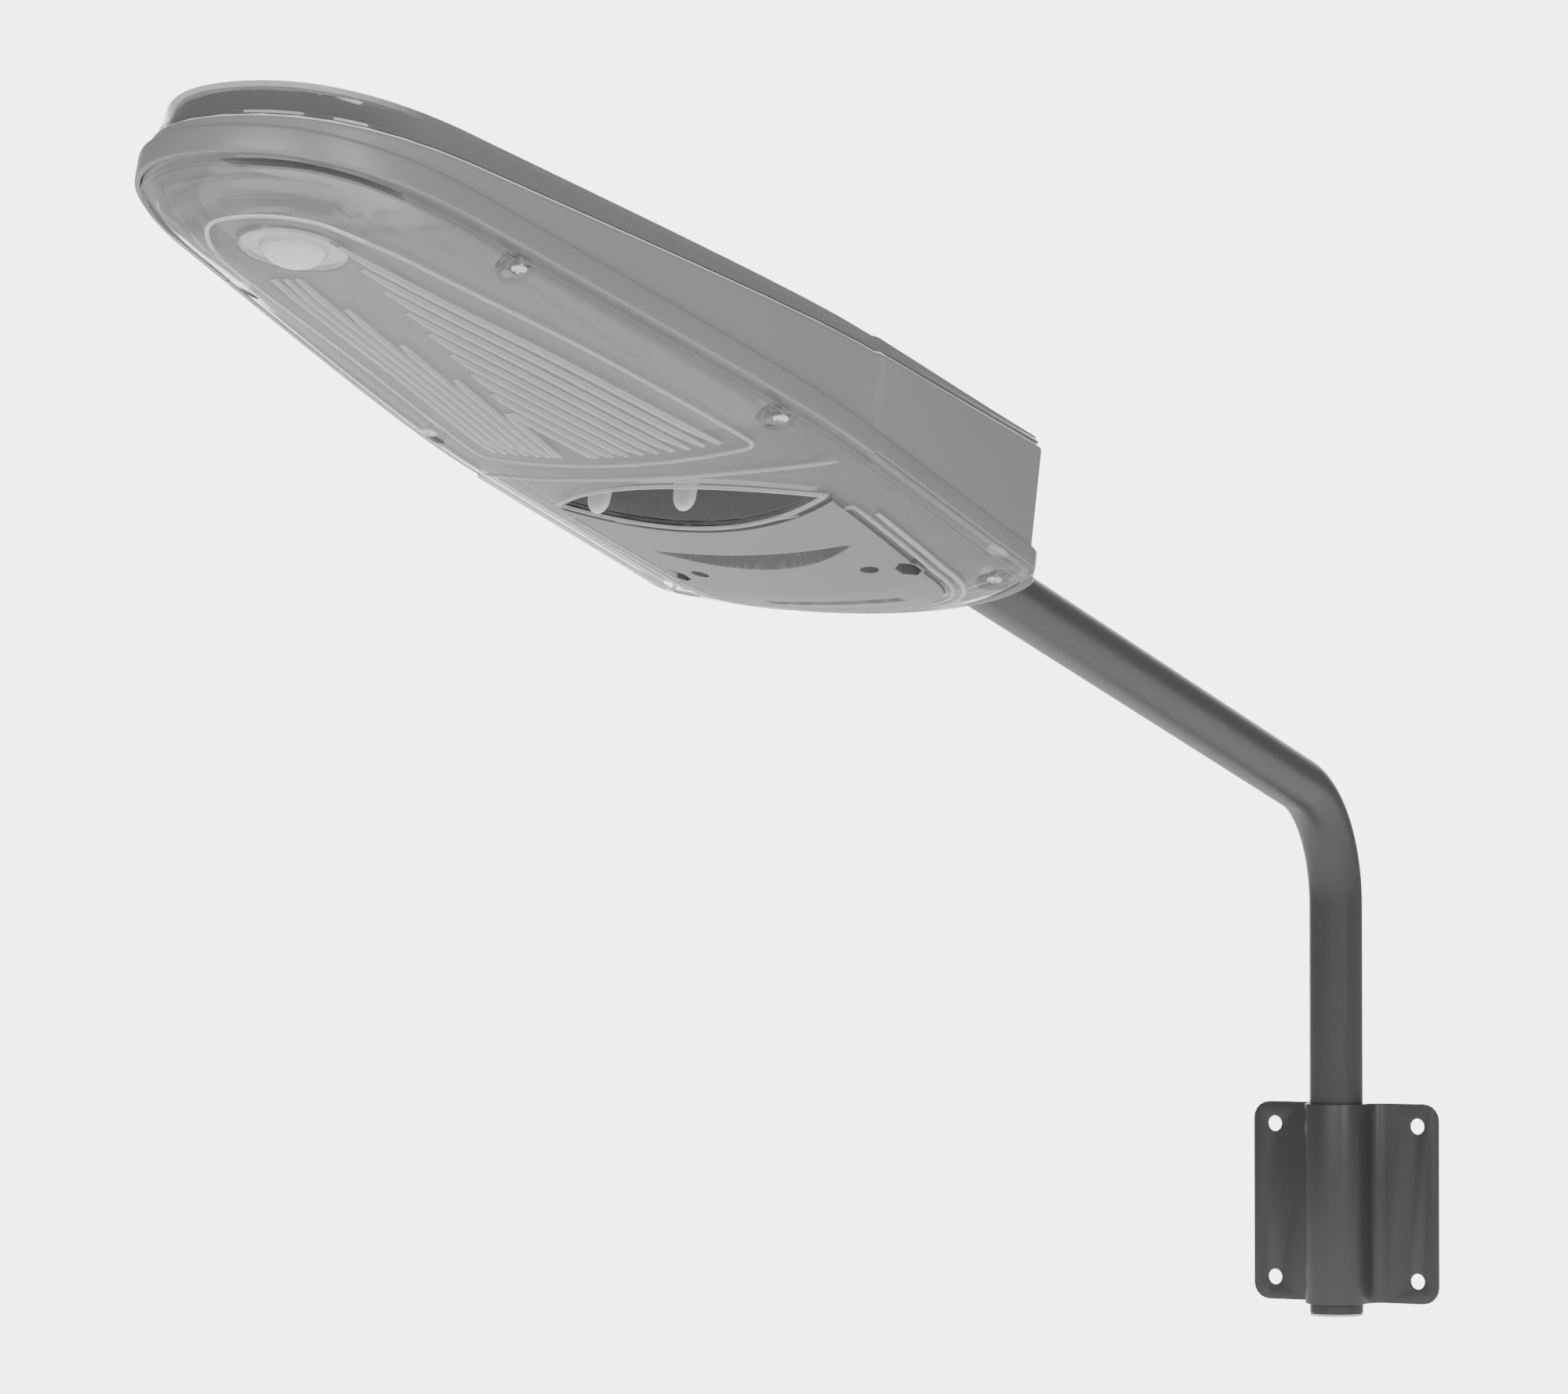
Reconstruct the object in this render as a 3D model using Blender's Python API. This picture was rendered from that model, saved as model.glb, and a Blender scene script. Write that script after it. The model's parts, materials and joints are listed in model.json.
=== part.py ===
"""Solar street lamp on a bent wall arm: bracket, tube arm and a leaf-shaped head with its inner parts.

World frame: metres, +Z up. The wall is the plane Y = 0 and the lamp reaches out towards -Y.
Head frame: X across, the rear edge at Y = 0 and the tip at -HEAD_LENGTH, Z = 0 at the foot of the rim.
"""

import math

import bmesh
import bpy
from mathutils import Matrix, Vector

# ---------------------------------------------------------------- driving sizes
GAP = 0.0003  # between pieces that touch

# Wall bracket
PLATE_WIDTH = 0.120
PLATE_HEIGHT = 0.120
PLATE_THICKNESS = 0.0025
PLATE_CORNER_RADIUS = 0.010
BOLT_SPACING_X = 0.093
BOLT_SPACING_Z = 0.093
BOLT_HOLE_RADIUS = 0.00475
CHANNEL_FOOT_RADIUS = 0.008

# Tube arm
TUBE_RADIUS = 0.016
TUBE_WALL = 0.002
TUBE_TAIL = 0.0055  # below the plate
ARM_CORNER_HEIGHT = 0.2382
ARM_BEND_RADIUS = 0.075
ARM_TILT = math.radians(13.9)
ARM_RUN = 0.592  # from the corner to above the head's rear edge
ARM_PLUG_DEPTH = 0.010
ARM_PLUG_FLANGE = 0.0015

# Head outline
HEAD_TILT = math.radians(15.2)
HEAD_LENGTH = 0.650
NOSE_LENGTH = 0.0916
NOSE_HALF_WIDTH = 0.0783
NOSE_BLUNTNESS = 0.050
HEAD_HALF_WIDTH = 0.111
WIDEST_FROM_REAR = 0.255
REAR_HALF_WIDTH = 0.108
REAR_CURVE_RADIUS = 0.145
REAR_CORNER_RADIUS = 0.020
REAR_BLOCK_LENGTH = 0.235
JOG_STEP = 0.003

# Housing
SHELL = 0.0025
RIM_HEIGHT = 0.013
RIM_STEP = 0.0035
REAR_SIDE_STEP = 0.0015
REAR_LEDGE = 0.014
DECK_TIP_HEIGHT = 0.0178
DECK_SLOPE = 0.080
LIP_THICKNESS = 0.0027
SHOULDER_HEIGHT = 0.0045
SHOULDER_WIDTH = 0.0045
TUBE_TOP_HEIGHT = 0.0604  # above the rim at the rear edge
TUBE_INSERTION = 0.105
TUBE_HOLE_CLEARANCE = 0.0035

# Clear top cover and solar panel
TOP_COVER_STEP = 0.003
TOP_COVER_TIP_RISE = 0.019
TOP_COVER_REAR_RISE = 0.0058
TOP_COVER_CROWN = 0.0025
PANEL_THICKNESS = 0.0016
PANEL_FRAME_WALL = 0.003
SEAL_THICKNESS = 0.0009

# Clear lens
LENS_WALL = 0.0025
FLANGE_TOP = 0.0015
FLANGE_BOTTOM = -0.0035
FLANGE_WIDTH = 0.0065
BELLY_EDGE_DEPTH = 0.0065
BELLY_DEPTH = 0.0182
BELLY_RAMP = 0.080

# Motion sensor
SENSOR_FROM_TIP = 0.074
SENSOR_DOME_RADIUS = 0.0148
SENSOR_BOSS_RADIUS = 0.0255
SENSOR_BOSS_HEIGHT = 0.0012
SENSOR_BOSS_WALL = 0.0022
SENSOR_SKIRT_TOP = -0.0085
SENSOR_DOME_DROP = 0.0100
SENSOR_BOARD_LIFT = 0.0048

# Lens screws
SCREW_INSET = 0.0130
SCREW_STATIONS = (-0.508, -0.304)
SCREW_SHANK_RADIUS = 0.0020
SCREW_HEAD_RADIUS = 0.0045
SCREW_HEAD_HEIGHT = 0.0026
SCREW_LENGTH = 0.012
SCREW_CLEARANCE = 0.0004
POCKET_RADIUS = 0.0078
POCKET_SEAT = FLANGE_BOTTOM + 0.0005
POCKET_PAD_RADIUS = 0.0092
POCKET_PAD_SHIFT = 0.0025
BOSS_RADIUS = 0.0045
POST_RADIUS = 0.003

# Battery cover and the eye-shaped opening
COVER_HALF_WIDTH = 0.075
COVER_FRONT = -0.208
COVER_FRONT_SWEEP = 0.022
COVER_REAR = -0.031
COVER_REAR_HALF_WIDTH = 0.069
COVER_REAR_CURVE = 0.062
COVER_CLEARANCE = 0.0006
EYE_HALF_WIDTH = 0.071
EYE_CORNER = -0.2135
EYE_FRONT_SWEEP = 0.038
EYE_STRIP = 0.006  # of the lens, between the eye and the cover
EYE_CUP_WALL = 0.0015
EYE_CUP_TOP = 0.0115
SCOOP_HALF_WIDTH = 0.056
SCOOP_REAR_DEPTH = 0.020
SCOOP_SETBACK = 0.061  # from the cover's front corners
COVER_SCREW_X = 0.048
COVER_SCREW_Y = -0.113
COVER_WELL_RADIUS = 0.0048
COVER_WELL_DEPTH = 0.0037
NOTCH_LENGTH = 0.020
NOTCH_WIDTH = 0.011

# Switch levers
LEVER_X = (-0.050, -0.002)
LEVER_Y = -0.216
LEVER_PIVOT_HEIGHT = 0.0090
LEVER_LENGTH = 0.0270
LEVER_WIDTH = 0.0135
LEVER_THICKNESS = 0.0056

# Lighting
LIGHT_FRONT_FROM_SENSOR = 0.040
LIGHT_REAR = -0.268
LED_BOARD_WIDTH = 0.046
LED_BOARD_SPACING = 0.008
BOARD_THICKNESS = 0.0016
LED_SIZE = 0.005
LED_HEIGHT = 0.001
LEDS_PER_ROW = 6
REFLECTOR_INSET = 0.027
REFLECTOR_HEIGHT = 0.0062

# Batteries
CELL_COUNT = 4
CELL_RADIUS = 0.0131
CELL_LENGTH = 0.050
CELL_CLEARANCE = 0.0008
CELL_FOOT_HEIGHT = -0.0006
SPRING_LENGTH = 0.005
CONTACT_THICKNESS = 0.0005
TRAY_WALL = 0.0015
TRAY_FRONT = -0.1835
TRAY_SIDE_ROOM = 0.0005

# Control board and tube clamp
CONTROL_BOARD_HALF_WIDTH = 0.042
CONTROL_BOARD_LENGTH = 0.055
CONTROL_BOARD_REAR = -0.036
CONTROL_BOARD_HEIGHT = 0.0090
CLAMP_LENGTH = 0.026
CLAMP_MIDDLE = 0.050  # from the rear edge
CLAMP_THICKNESS = 0.0022
CLAMP_EAR = 0.014
CLAMP_PARTING = 0.0006
CLAMP_SCREW_RADIUS = 0.0020
CLAMP_SCREW_LENGTH = 0.014
LEAD_RADIUS = 0.0011

# ---------------------------------------------------------------- sizes that follow
TUBE_CLEARANCE = GAP
TUBE_AXIS_Y = -(TUBE_RADIUS + TUBE_CLEARANCE)
TUBE_AXIS_HEIGHT = TUBE_TOP_HEIGHT - TUBE_RADIUS
CHANNEL_INNER = TUBE_RADIUS + TUBE_CLEARANCE
CHANNEL_OUTER = CHANNEL_INNER + PLATE_THICKNESS
ARM_TURN = math.pi / 2 - ARM_TILT
ARM_BEND_REACH = ARM_BEND_RADIUS * math.tan(ARM_TURN / 2)
TILT_DIFFERENCE = HEAD_TILT - ARM_TILT
SENSOR_Y = SENSOR_FROM_TIP - HEAD_LENGTH
LIGHT_FRONT = SENSOR_Y + LIGHT_FRONT_FROM_SENSOR
CELL_SPACING = 2 * CELL_RADIUS + CELL_CLEARANCE
CELL_AXIS_HEIGHT = CELL_FOOT_HEIGHT + CELL_RADIUS
TRAY_HALF_WIDTH = CELL_COUNT * CELL_SPACING / 2 + TRAY_SIDE_ROOM + TRAY_WALL
TRAY_INNER_LENGTH = CELL_LENGTH + SPRING_LENGTH + 2 * CONTACT_THICKNESS + 5 * GAP
TRAY_REAR = TRAY_FRONT + TRAY_INNER_LENGTH + 2 * TRAY_WALL
TRAY_TOP = CELL_AXIS_HEIGHT + CELL_RADIUS + 2 * GAP + TRAY_WALL
TRAY_BOTTOM = CELL_AXIS_HEIGHT - CELL_RADIUS - 0.001
PANEL_FRAME_INSET = 0.004
CLAMP_SCREW_X = TUBE_RADIUS + TUBE_CLEARANCE + CLAMP_THICKNESS + CLAMP_EAR / 2
CLAMP_BOSS_TOP = DECK_TIP_HEIGHT + DECK_SLOPE * (HEAD_LENGTH - CLAMP_MIDDLE) - TUBE_AXIS_HEIGHT - SHELL / 3

# ---------------------------------------------------------------- general helpers


def clear_scene():
    for old in list(bpy.data.objects):
        bpy.data.objects.remove(old, do_unlink=True)


def material(name, colour, roughness, metallic=0.0, alpha=1.0):
    """A Principled material, made once for each piece."""
    mat = bpy.data.materials.new(name)
    mat.use_nodes = True
    shader = mat.node_tree.nodes["Principled BSDF"]
    shader.inputs["Base Color"].default_value = (*colour, 1.0)
    shader.inputs["Roughness"].default_value = roughness
    shader.inputs["Metallic"].default_value = metallic
    shader.inputs["Alpha"].default_value = alpha
    return mat


def add_object(name, bm, parent=None, look=None, smooth=35):
    """Turns a bmesh into an object under parent, with outward faces and smooth round sides."""
    bmesh.ops.recalc_face_normals(bm, faces=bm.faces)
    mesh = bpy.data.meshes.new(name)
    bm.to_mesh(mesh)
    bm.free()
    mesh.shade_smooth()
    mesh.set_sharp_from_angle(angle=math.radians(smooth))
    obj = bpy.data.objects.new(name, mesh)
    bpy.context.scene.collection.objects.link(obj)
    obj.parent = parent
    if look:
        mesh.materials.append(material(name, *look))
    return obj


def frame(name, parent, origin, turn_x=0.0):
    """An empty that its children are placed from."""
    empty = bpy.data.objects.new(name, None)
    bpy.context.scene.collection.objects.link(empty)
    empty.parent = parent
    empty.location = origin
    empty.rotation_euler = (turn_x, 0.0, 0.0)
    return empty


def skin(bm, rings, ends_closed=True):
    """Walls between loops of equal count; the ends are capped, or joined to each other."""
    loops = [[bm.verts.new(point) for point in ring] for ring in rings]
    pairs = list(zip(loops, loops[1:]))
    if not ends_closed:
        pairs.append((loops[-1], loops[0]))
    for low, high in pairs:
        for i in range(len(low)):
            j = (i + 1) % len(low)
            bm.faces.new((low[i], low[j], high[j], high[i]))
    if ends_closed:
        bm.faces.new(loops[0])
        bm.faces.new(reversed(loops[-1]))


def prism(outline, bottom, top):
    """A bmesh of a plan outline drawn up from bottom to top."""
    bm = bmesh.new()
    skin(bm, [[(x, y, bottom) for x, y in outline], [(x, y, top) for x, y in outline]])
    return bm


def add_box(bm, low, high):
    centre = (Vector(low) + Vector(high)) / 2
    size = Vector(high) - Vector(low)
    matrix = Matrix.Translation(centre) @ Matrix.Diagonal((*size, 1.0))
    bmesh.ops.create_cube(bm, size=1.0, matrix=matrix)


def box(low, high):
    bm = bmesh.new()
    add_box(bm, low, high)
    return bm


def add_cylinder(bm, radius, bottom, top, centre=(0.0, 0.0), sides=16):
    matrix = Matrix.Translation((centre[0], centre[1], (bottom + top) / 2))
    bmesh.ops.create_cone(
        bm, cap_ends=True, segments=sides, radius1=radius, radius2=radius, depth=top - bottom, matrix=matrix
    )


def cylinder(radius, bottom, top, centre=(0.0, 0.0), sides=16):
    bm = bmesh.new()
    add_cylinder(bm, radius, bottom, top, centre, sides)
    return bm


def turned(profile, sides=20):
    """Spins a profile of (radius, height) points about Z; points on the axis close the ends."""
    bm = bmesh.new()
    points = [bm.verts.new((radius, 0.0, height)) for radius, height in profile]
    edges = [bm.edges.new(pair) for pair in zip(points, points[1:])]
    if profile[0][0] > 0 and profile[-1][0] > 0:
        edges.append(bm.edges.new((points[-1], points[0])))
    bmesh.ops.spin(
        bm,
        geom=points + edges,
        axis=(0, 0, 1),
        cent=(0, 0, 0),
        steps=sides,
        angle=2 * math.pi,
        use_merge=True,
    )
    bmesh.ops.remove_doubles(bm, verts=bm.verts, dist=1e-6)
    return bm


def moved(bm, matrix):
    bmesh.ops.transform(bm, matrix=matrix, verts=bm.verts)
    return bm


def merge(bm, other):
    """Adds another bmesh's shapes to bm and frees it."""
    mesh = bpy.data.meshes.new("merged")
    other.to_mesh(mesh)
    other.free()
    bm.from_mesh(mesh)
    bpy.data.meshes.remove(mesh)


def add_well(bm, place, wide, seat, narrow, low, high, sides=14):
    """A cutter for a screw: wide up to its seat, then narrow."""
    profile = [(0.0, low), (wide, low), (wide, seat), (narrow, seat), (narrow, high), (0.0, high)]
    merge(bm, moved(turned(profile, sides), Matrix.Translation((place[0], place[1], 0.0))))


def cut(target, name, bm, parent=None, operation="DIFFERENCE"):
    """Adds a Boolean with a wire cutter that stays out of the model."""
    cutter = add_object(name, bm, parent)
    cutter.hide_render = True
    cutter.display_type = "WIRE"
    modifier = target.modifiers.new(name, "BOOLEAN")
    modifier.operation = operation
    modifier.solver = "EXACT"
    modifier.object = cutter
    return cutter


def arc(centre, radius, start, end, steps):
    """Points on an arc, both ends included; angles in radians."""
    angles = [start + (end - start) * i / steps for i in range(steps + 1)]
    return [(centre[0] + radius * math.cos(a), centre[1] + radius * math.sin(a)) for a in angles]


def bezier(p0, h0, h1, p1, steps):
    """Points along a cubic, the last one left out."""
    result = []
    for i in range(steps):
        t = i / steps
        k = ((1 - t) ** 3, 3 * t * (1 - t) ** 2, 3 * t * t * (1 - t), t**3)
        x = k[0] * p0[0] + k[1] * h0[0] + k[2] * h1[0] + k[3] * p1[0]
        y = k[0] * p0[1] + k[1] * h0[1] + k[2] * h1[1] + k[3] * p1[1]
        result.append((x, y))
    return result


def both_sides(half):
    """Mirrors a right-hand half that starts and ends on the centre line into a closed outline."""
    return half + [(-x, y) for x, y in reversed(half[1:-1])]


def normals_of(outline):
    """Outward mitres of a closed outline that runs from the tip round by the right side."""
    count = len(outline)
    sides = []
    for i in range(count):
        along = (Vector(outline[(i + 1) % count]) - Vector(outline[i])).normalized()
        sides.append(Vector((along.y, -along.x)))
    mitres = [(sides[i - 1] + sides[i]) / (1 + sides[i - 1].dot(sides[i])) for i in range(count)]
    return [(mitre.x, mitre.y) for mitre in mitres]


def grown(outline, amount):
    return [(p[0] + n[0] * amount, p[1] + n[1] * amount) for p, n in zip(outline, normals_of(outline))]


# ---------------------------------------------------------------- head outline and heights


def head_half_outline():
    """Right half of the plan outline, tip first: blunt nose, long flank, rear corner, rear curve."""
    tip = (0.0, -HEAD_LENGTH)
    nose_end = (NOSE_HALF_WIDTH, NOSE_LENGTH - HEAD_LENGTH)
    widest = (HEAD_HALF_WIDTH, -WIDEST_FROM_REAR)
    slope = 0.15
    nose = bezier(
        tip,
        (NOSE_BLUNTNESS, tip[1]),
        (nose_end[0] - slope * NOSE_BLUNTNESS, nose_end[1] - NOSE_BLUNTNESS),
        nose_end,
        7,
    )
    flank_reach = (widest[1] - nose_end[1]) / 3
    flank = bezier(
        nose_end,
        (nose_end[0] + slope * flank_reach * 0.85, nose_end[1] + flank_reach),
        (widest[0], widest[1] - flank_reach * 0.6),
        widest,
        6,
    )
    corner_x = REAR_HALF_WIDTH - REAR_CORNER_RADIUS
    big_centre = -REAR_CURVE_RADIUS
    corner_y = big_centre + math.sqrt((REAR_CURVE_RADIUS - REAR_CORNER_RADIUS) ** 2 - corner_x**2)
    corner_turn = math.atan2(corner_y - big_centre, corner_x)
    rear_side = []
    jog = [-REAR_BLOCK_LENGTH - JOG_STEP, -REAR_BLOCK_LENGTH, -REAR_BLOCK_LENGTH + JOG_STEP]
    for y in [-WIDEST_FROM_REAR] + jog + [-0.6 * REAR_BLOCK_LENGTH]:
        share = (y + WIDEST_FROM_REAR) / (corner_y + WIDEST_FROM_REAR)
        ease = share * share * (3 - 2 * share)
        rear_side.append((HEAD_HALF_WIDTH + (REAR_HALF_WIDTH - HEAD_HALF_WIDTH) * ease, y))
    corner = arc((corner_x, corner_y), REAR_CORNER_RADIUS, 0.0, corner_turn, 3)
    rear = arc((0.0, big_centre), REAR_CURVE_RADIUS, corner_turn, math.pi / 2, 4)[1:]
    return nose + flank + rear_side + corner + rear


OUTLINE = both_sides(head_half_outline())
OUTLINE_NORMALS = normals_of(OUTLINE)
REAR_CORNER_CENTRE = (
    REAR_HALF_WIDTH - REAR_CORNER_RADIUS,
    -REAR_CURVE_RADIUS
    + math.sqrt(
        (REAR_CURVE_RADIUS - REAR_CORNER_RADIUS) ** 2 - (REAR_HALF_WIDTH - REAR_CORNER_RADIUS) ** 2
    ),
)


def half_width(y):
    """Half the outline's width at y, between its points."""
    half = head_half_outline()
    for (x0, y0), (x1, y1) in zip(half, half[1:]):
        if y0 <= y <= y1:
            return x0 + (x1 - x0) * (y - y0) / max(y1 - y0, 1e-9)
    return 0.0


def in_rear_block(y, margin=-JOG_STEP / 3):
    return y > -REAR_BLOCK_LENGTH + margin


def value(size, y):
    return size(y) if callable(size) else size


def ring(inset, height, rear=None):
    """The outline drawn in by inset, or by rear where it faces backwards, at a height."""
    points = []
    for (x, y), (nx, ny) in zip(OUTLINE, OUTLINE_NORMALS):
        side = value(inset, y)
        back = side if rear is None else rear
        new_y = y - ny * (back if ny > 0 else side)
        points.append((x - nx * side, new_y, value(height, new_y)))
    return points


def leaf(inset, height_at):
    """The outline shrunk towards its middle, so that loops stay nested; height_at takes x, y."""
    middle = -HEAD_LENGTH / 2
    across = 1 - inset / HEAD_HALF_WIDTH
    along = 1 - inset / (HEAD_LENGTH / 2)
    flat = [(x * across, middle + (y - middle) * along) for x, y in OUTLINE]
    return [(x, y, height_at(x, y)) for x, y in flat]


def deck(y):
    """Height of the housing's top edge, which rises towards the rear."""
    return DECK_TIP_HEIGHT + DECK_SLOPE * (y + HEAD_LENGTH)


def wall_inset(y):
    return REAR_SIDE_STEP if in_rear_block(y) else RIM_STEP


def rim_foot(y):
    return FLANGE_TOP + GAP if in_rear_block(y) else 0.0


def cover_top(y):
    """Height of the clear top cover's shoulder."""
    share = (y + HEAD_LENGTH) / HEAD_LENGTH
    return deck(y) + TOP_COVER_TIP_RISE + (TOP_COVER_REAR_RISE - TOP_COVER_TIP_RISE) * share


def panel_bottom(y):
    return cover_top(y) - SHELL - 4 * GAP - PANEL_THICKNESS


def smooth_share(distance, reach):
    share = min(max(distance / reach, 0.0), 1.0)
    return share * share * (3 - 2 * share)


def belly(x, y):
    """Height of the crowned underside."""
    reach = max(half_width(min(max(y, -HEAD_LENGTH), REAR_CORNER_CENTRE[1])) - 0.012, 0.02)
    across = 1 - min((x / reach) ** 2, 1.0)
    front = smooth_share(y + HEAD_LENGTH - 0.012, BELLY_RAMP)
    back = smooth_share(-0.008 - y, BELLY_RAMP)
    return -(BELLY_EDGE_DEPTH + (BELLY_DEPTH - BELLY_EDGE_DEPTH) * across * front * back)


def belly_inside(x, y):
    return belly(x, y) + LENS_WALL


# ---------------------------------------------------------------- looks
STEEL_GREY = ((0.135, 0.138, 0.130), 0.42, 0.35)
HOUSING_GREY = ((0.40, 0.41, 0.41), 0.38, 0.25)
COVER_GREY = ((0.36, 0.37, 0.35), 0.45, 0.1)
CLEAR = ((0.93, 0.95, 0.96), 0.06, 0.0, 0.25)
RUBBER_BLACK = ((0.03, 0.03, 0.03), 0.8)
DARK_PLASTIC = ((0.10, 0.10, 0.105), 0.5)
WHITE_PLASTIC = ((0.85, 0.85, 0.83), 0.35)
FROSTED = ((0.88, 0.89, 0.88), 0.5)
BOARD_WHITE = ((0.80, 0.80, 0.77), 0.5)
BOARD_GREEN = ((0.03, 0.22, 0.09), 0.5)
ZINC = ((0.70, 0.71, 0.72), 0.25, 1.0)
CELL_SLEEVE = ((0.08, 0.25, 0.12), 0.35)
PANEL_BLUE = ((0.02, 0.03, 0.08), 0.2)
LEAD_BLACK = ((0.02, 0.02, 0.02), 0.5)
LEAD_RED = ((0.5, 0.02, 0.02), 0.5)

# ---------------------------------------------------------------- bracket and arm


def bracket_plate():
    """Pressed plate: two flanges on the wall and a half-round channel over the tube."""
    foot_x = CHANNEL_OUTER + CHANNEL_FOOT_RADIUS
    foot_y = -PLATE_THICKNESS - CHANNEL_FOOT_RADIUS
    quarter = math.pi / 2
    axis = (0.0, TUBE_AXIS_Y)
    right_out = arc((foot_x, foot_y), CHANNEL_FOOT_RADIUS, quarter, 2 * quarter, 5)
    crown_out = arc(axis, CHANNEL_OUTER, 0.0, -2 * quarter, 14)
    right_in = arc((foot_x, foot_y), CHANNEL_FOOT_RADIUS + PLATE_THICKNESS, quarter, 2 * quarter, 5)
    crown_in = arc(axis, CHANNEL_INNER, 0.0, -2 * quarter, 14)
    half = PLATE_WIDTH / 2
    front = [(half, -PLATE_THICKNESS)] + right_out + crown_out + [(-x, y) for x, y in reversed(right_out)]
    back = [(half, 0.0)] + right_in + crown_in + [(-x, y) for x, y in reversed(right_in)]
    front.append((-half, -PLATE_THICKNESS))
    back.append((-half, 0.0))
    outline = front + list(reversed(back))
    plate = add_object(
        "bracket_plate", prism(outline, -PLATE_HEIGHT / 2, PLATE_HEIGHT / 2), look=STEEL_GREY, smooth=30
    )
    r = PLATE_CORNER_RADIUS
    corner_x = PLATE_WIDTH / 2 - r
    corner_z = PLATE_HEIGHT / 2 - r
    rounded = []
    for quarter_index, (sx, sz) in enumerate(((1, 1), (-1, 1), (-1, -1), (1, -1))):
        start = quarter_index * quarter
        rounded += arc((sx * corner_x, sz * corner_z), r, start, start + quarter, 5)
    upright = Matrix.Rotation(math.pi / 2, 4, "X")
    blank = moved(prism(rounded, -0.01, 0.05), upright)
    cut(plate, "plate_blank", blank, operation="INTERSECT")
    holes = bmesh.new()
    for sx in (-1, 1):
        for sz in (-1, 1):
            centre = (sx * BOLT_SPACING_X / 2, sz * BOLT_SPACING_Z / 2)
            add_cylinder(holes, BOLT_HOLE_RADIUS, -0.01, 0.01, centre, 20)
    cut(plate, "plate_holes", moved(holes, upright))
    return plate


def arm_path():
    """Centre line of the tube in the Y-Z plane, as (y, z, angle of travel above level)."""
    points = [(TUBE_AXIS_Y, -PLATE_HEIGHT / 2 - TUBE_TAIL, math.pi / 2)]
    centre_y = TUBE_AXIS_Y - ARM_BEND_RADIUS
    centre_z = ARM_CORNER_HEIGHT - ARM_BEND_REACH
    steps = 9
    for i in range(steps + 1):
        a = ARM_TURN * i / steps
        y = centre_y + ARM_BEND_RADIUS * math.cos(a)
        z = centre_z + ARM_BEND_RADIUS * math.sin(a)
        points.append((y, z, math.pi / 2 - a))
    end = ARM_RUN + TUBE_INSERTION
    points.append(
        (TUBE_AXIS_Y - end * math.cos(ARM_TILT), ARM_CORNER_HEIGHT + end * math.sin(ARM_TILT), ARM_TILT)
    )
    return points


def arm_tube():
    """One bent tube with its bore open at both ends."""
    sides = 18
    outer = []
    inner = []
    for y, z, angle in arm_path():
        side = Vector((0.0, math.sin(angle), math.cos(angle)))
        for radius, rings in ((TUBE_RADIUS, outer), (TUBE_RADIUS - TUBE_WALL, inner)):
            loop = []
            for i in range(sides):
                a = 2 * math.pi * i / sides
                loop.append(Vector((radius * math.cos(a), y, z)) + side * radius * math.sin(a))
            rings.append(loop)
    bm = bmesh.new()
    skin(bm, outer + inner[::-1], ends_closed=False)
    return add_object("arm_tube", bm, look=STEEL_GREY)


def tube_plug():
    """Push-in plug that closes the lower end of the tube."""
    bore = TUBE_RADIUS - TUBE_WALL - GAP
    profile = [
        (0.0, -ARM_PLUG_FLANGE - GAP),
        (TUBE_RADIUS - 0.0006, -ARM_PLUG_FLANGE - GAP),
        (TUBE_RADIUS, -ARM_PLUG_FLANGE + GAP),
        (TUBE_RADIUS, -GAP),
        (bore, -GAP),
        (bore - 0.0005, ARM_PLUG_DEPTH),
        (bore - 0.002, ARM_PLUG_DEPTH),
        (bore - 0.002, 0.001),
        (0.0, 0.001),
    ]
    plug = add_object("tube_end_plug", turned(profile), look=WHITE_PLASTIC)
    plug.location = (0.0, TUBE_AXIS_Y, -PLATE_HEIGHT / 2 - TUBE_TAIL)
    return plug


# ---------------------------------------------------------------- housing and top


def boss_places():
    """Lens screw places in plan: two flank pairs and the pair at the rear corners."""
    places = []
    for y in SCREW_STATIONS:
        x = half_width(y) - SCREW_INSET
        places += [(x, y), (-x, y)]
    places += [REAR_CORNER_CENTRE, (-REAR_CORNER_CENTRE[0], REAR_CORNER_CENTRE[1])]
    return places


def post_places():
    """Posts that hold the inner parts down, as (x, y, foot height)."""
    over_reflector = REFLECTOR_HEIGHT + 0.0015 + GAP
    over_board = CONTROL_BOARD_HEIGHT + BOARD_THICKNESS + GAP
    over_sensor = sensor_seat() + SENSOR_BOARD_LIFT + BOARD_THICKNESS + 2 * GAP
    over_switches = EYE_CUP_TOP + 0.0050 + BOARD_THICKNESS + GAP
    return [
        (0.0, LIGHT_FRONT + 0.030, over_reflector),
        (0.0, LIGHT_REAR - 0.030, over_reflector),
        (0.0, SENSOR_Y, over_sensor),
        ((LEVER_X[0] + LEVER_X[1]) / 2, LEVER_Y, over_switches),
        (-TRAY_HALF_WIDTH + 0.006, (TRAY_FRONT + TRAY_REAR) / 2, TRAY_TOP + GAP),
        (TRAY_HALF_WIDTH - 0.006, (TRAY_FRONT + TRAY_REAR) / 2, TRAY_TOP + GAP),
        (-0.020, CONTROL_BOARD_REAR - CONTROL_BOARD_LENGTH + 0.004, over_board),
        (0.020, CONTROL_BOARD_REAR - CONTROL_BOARD_LENGTH + 0.004, over_board),
    ]


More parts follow.
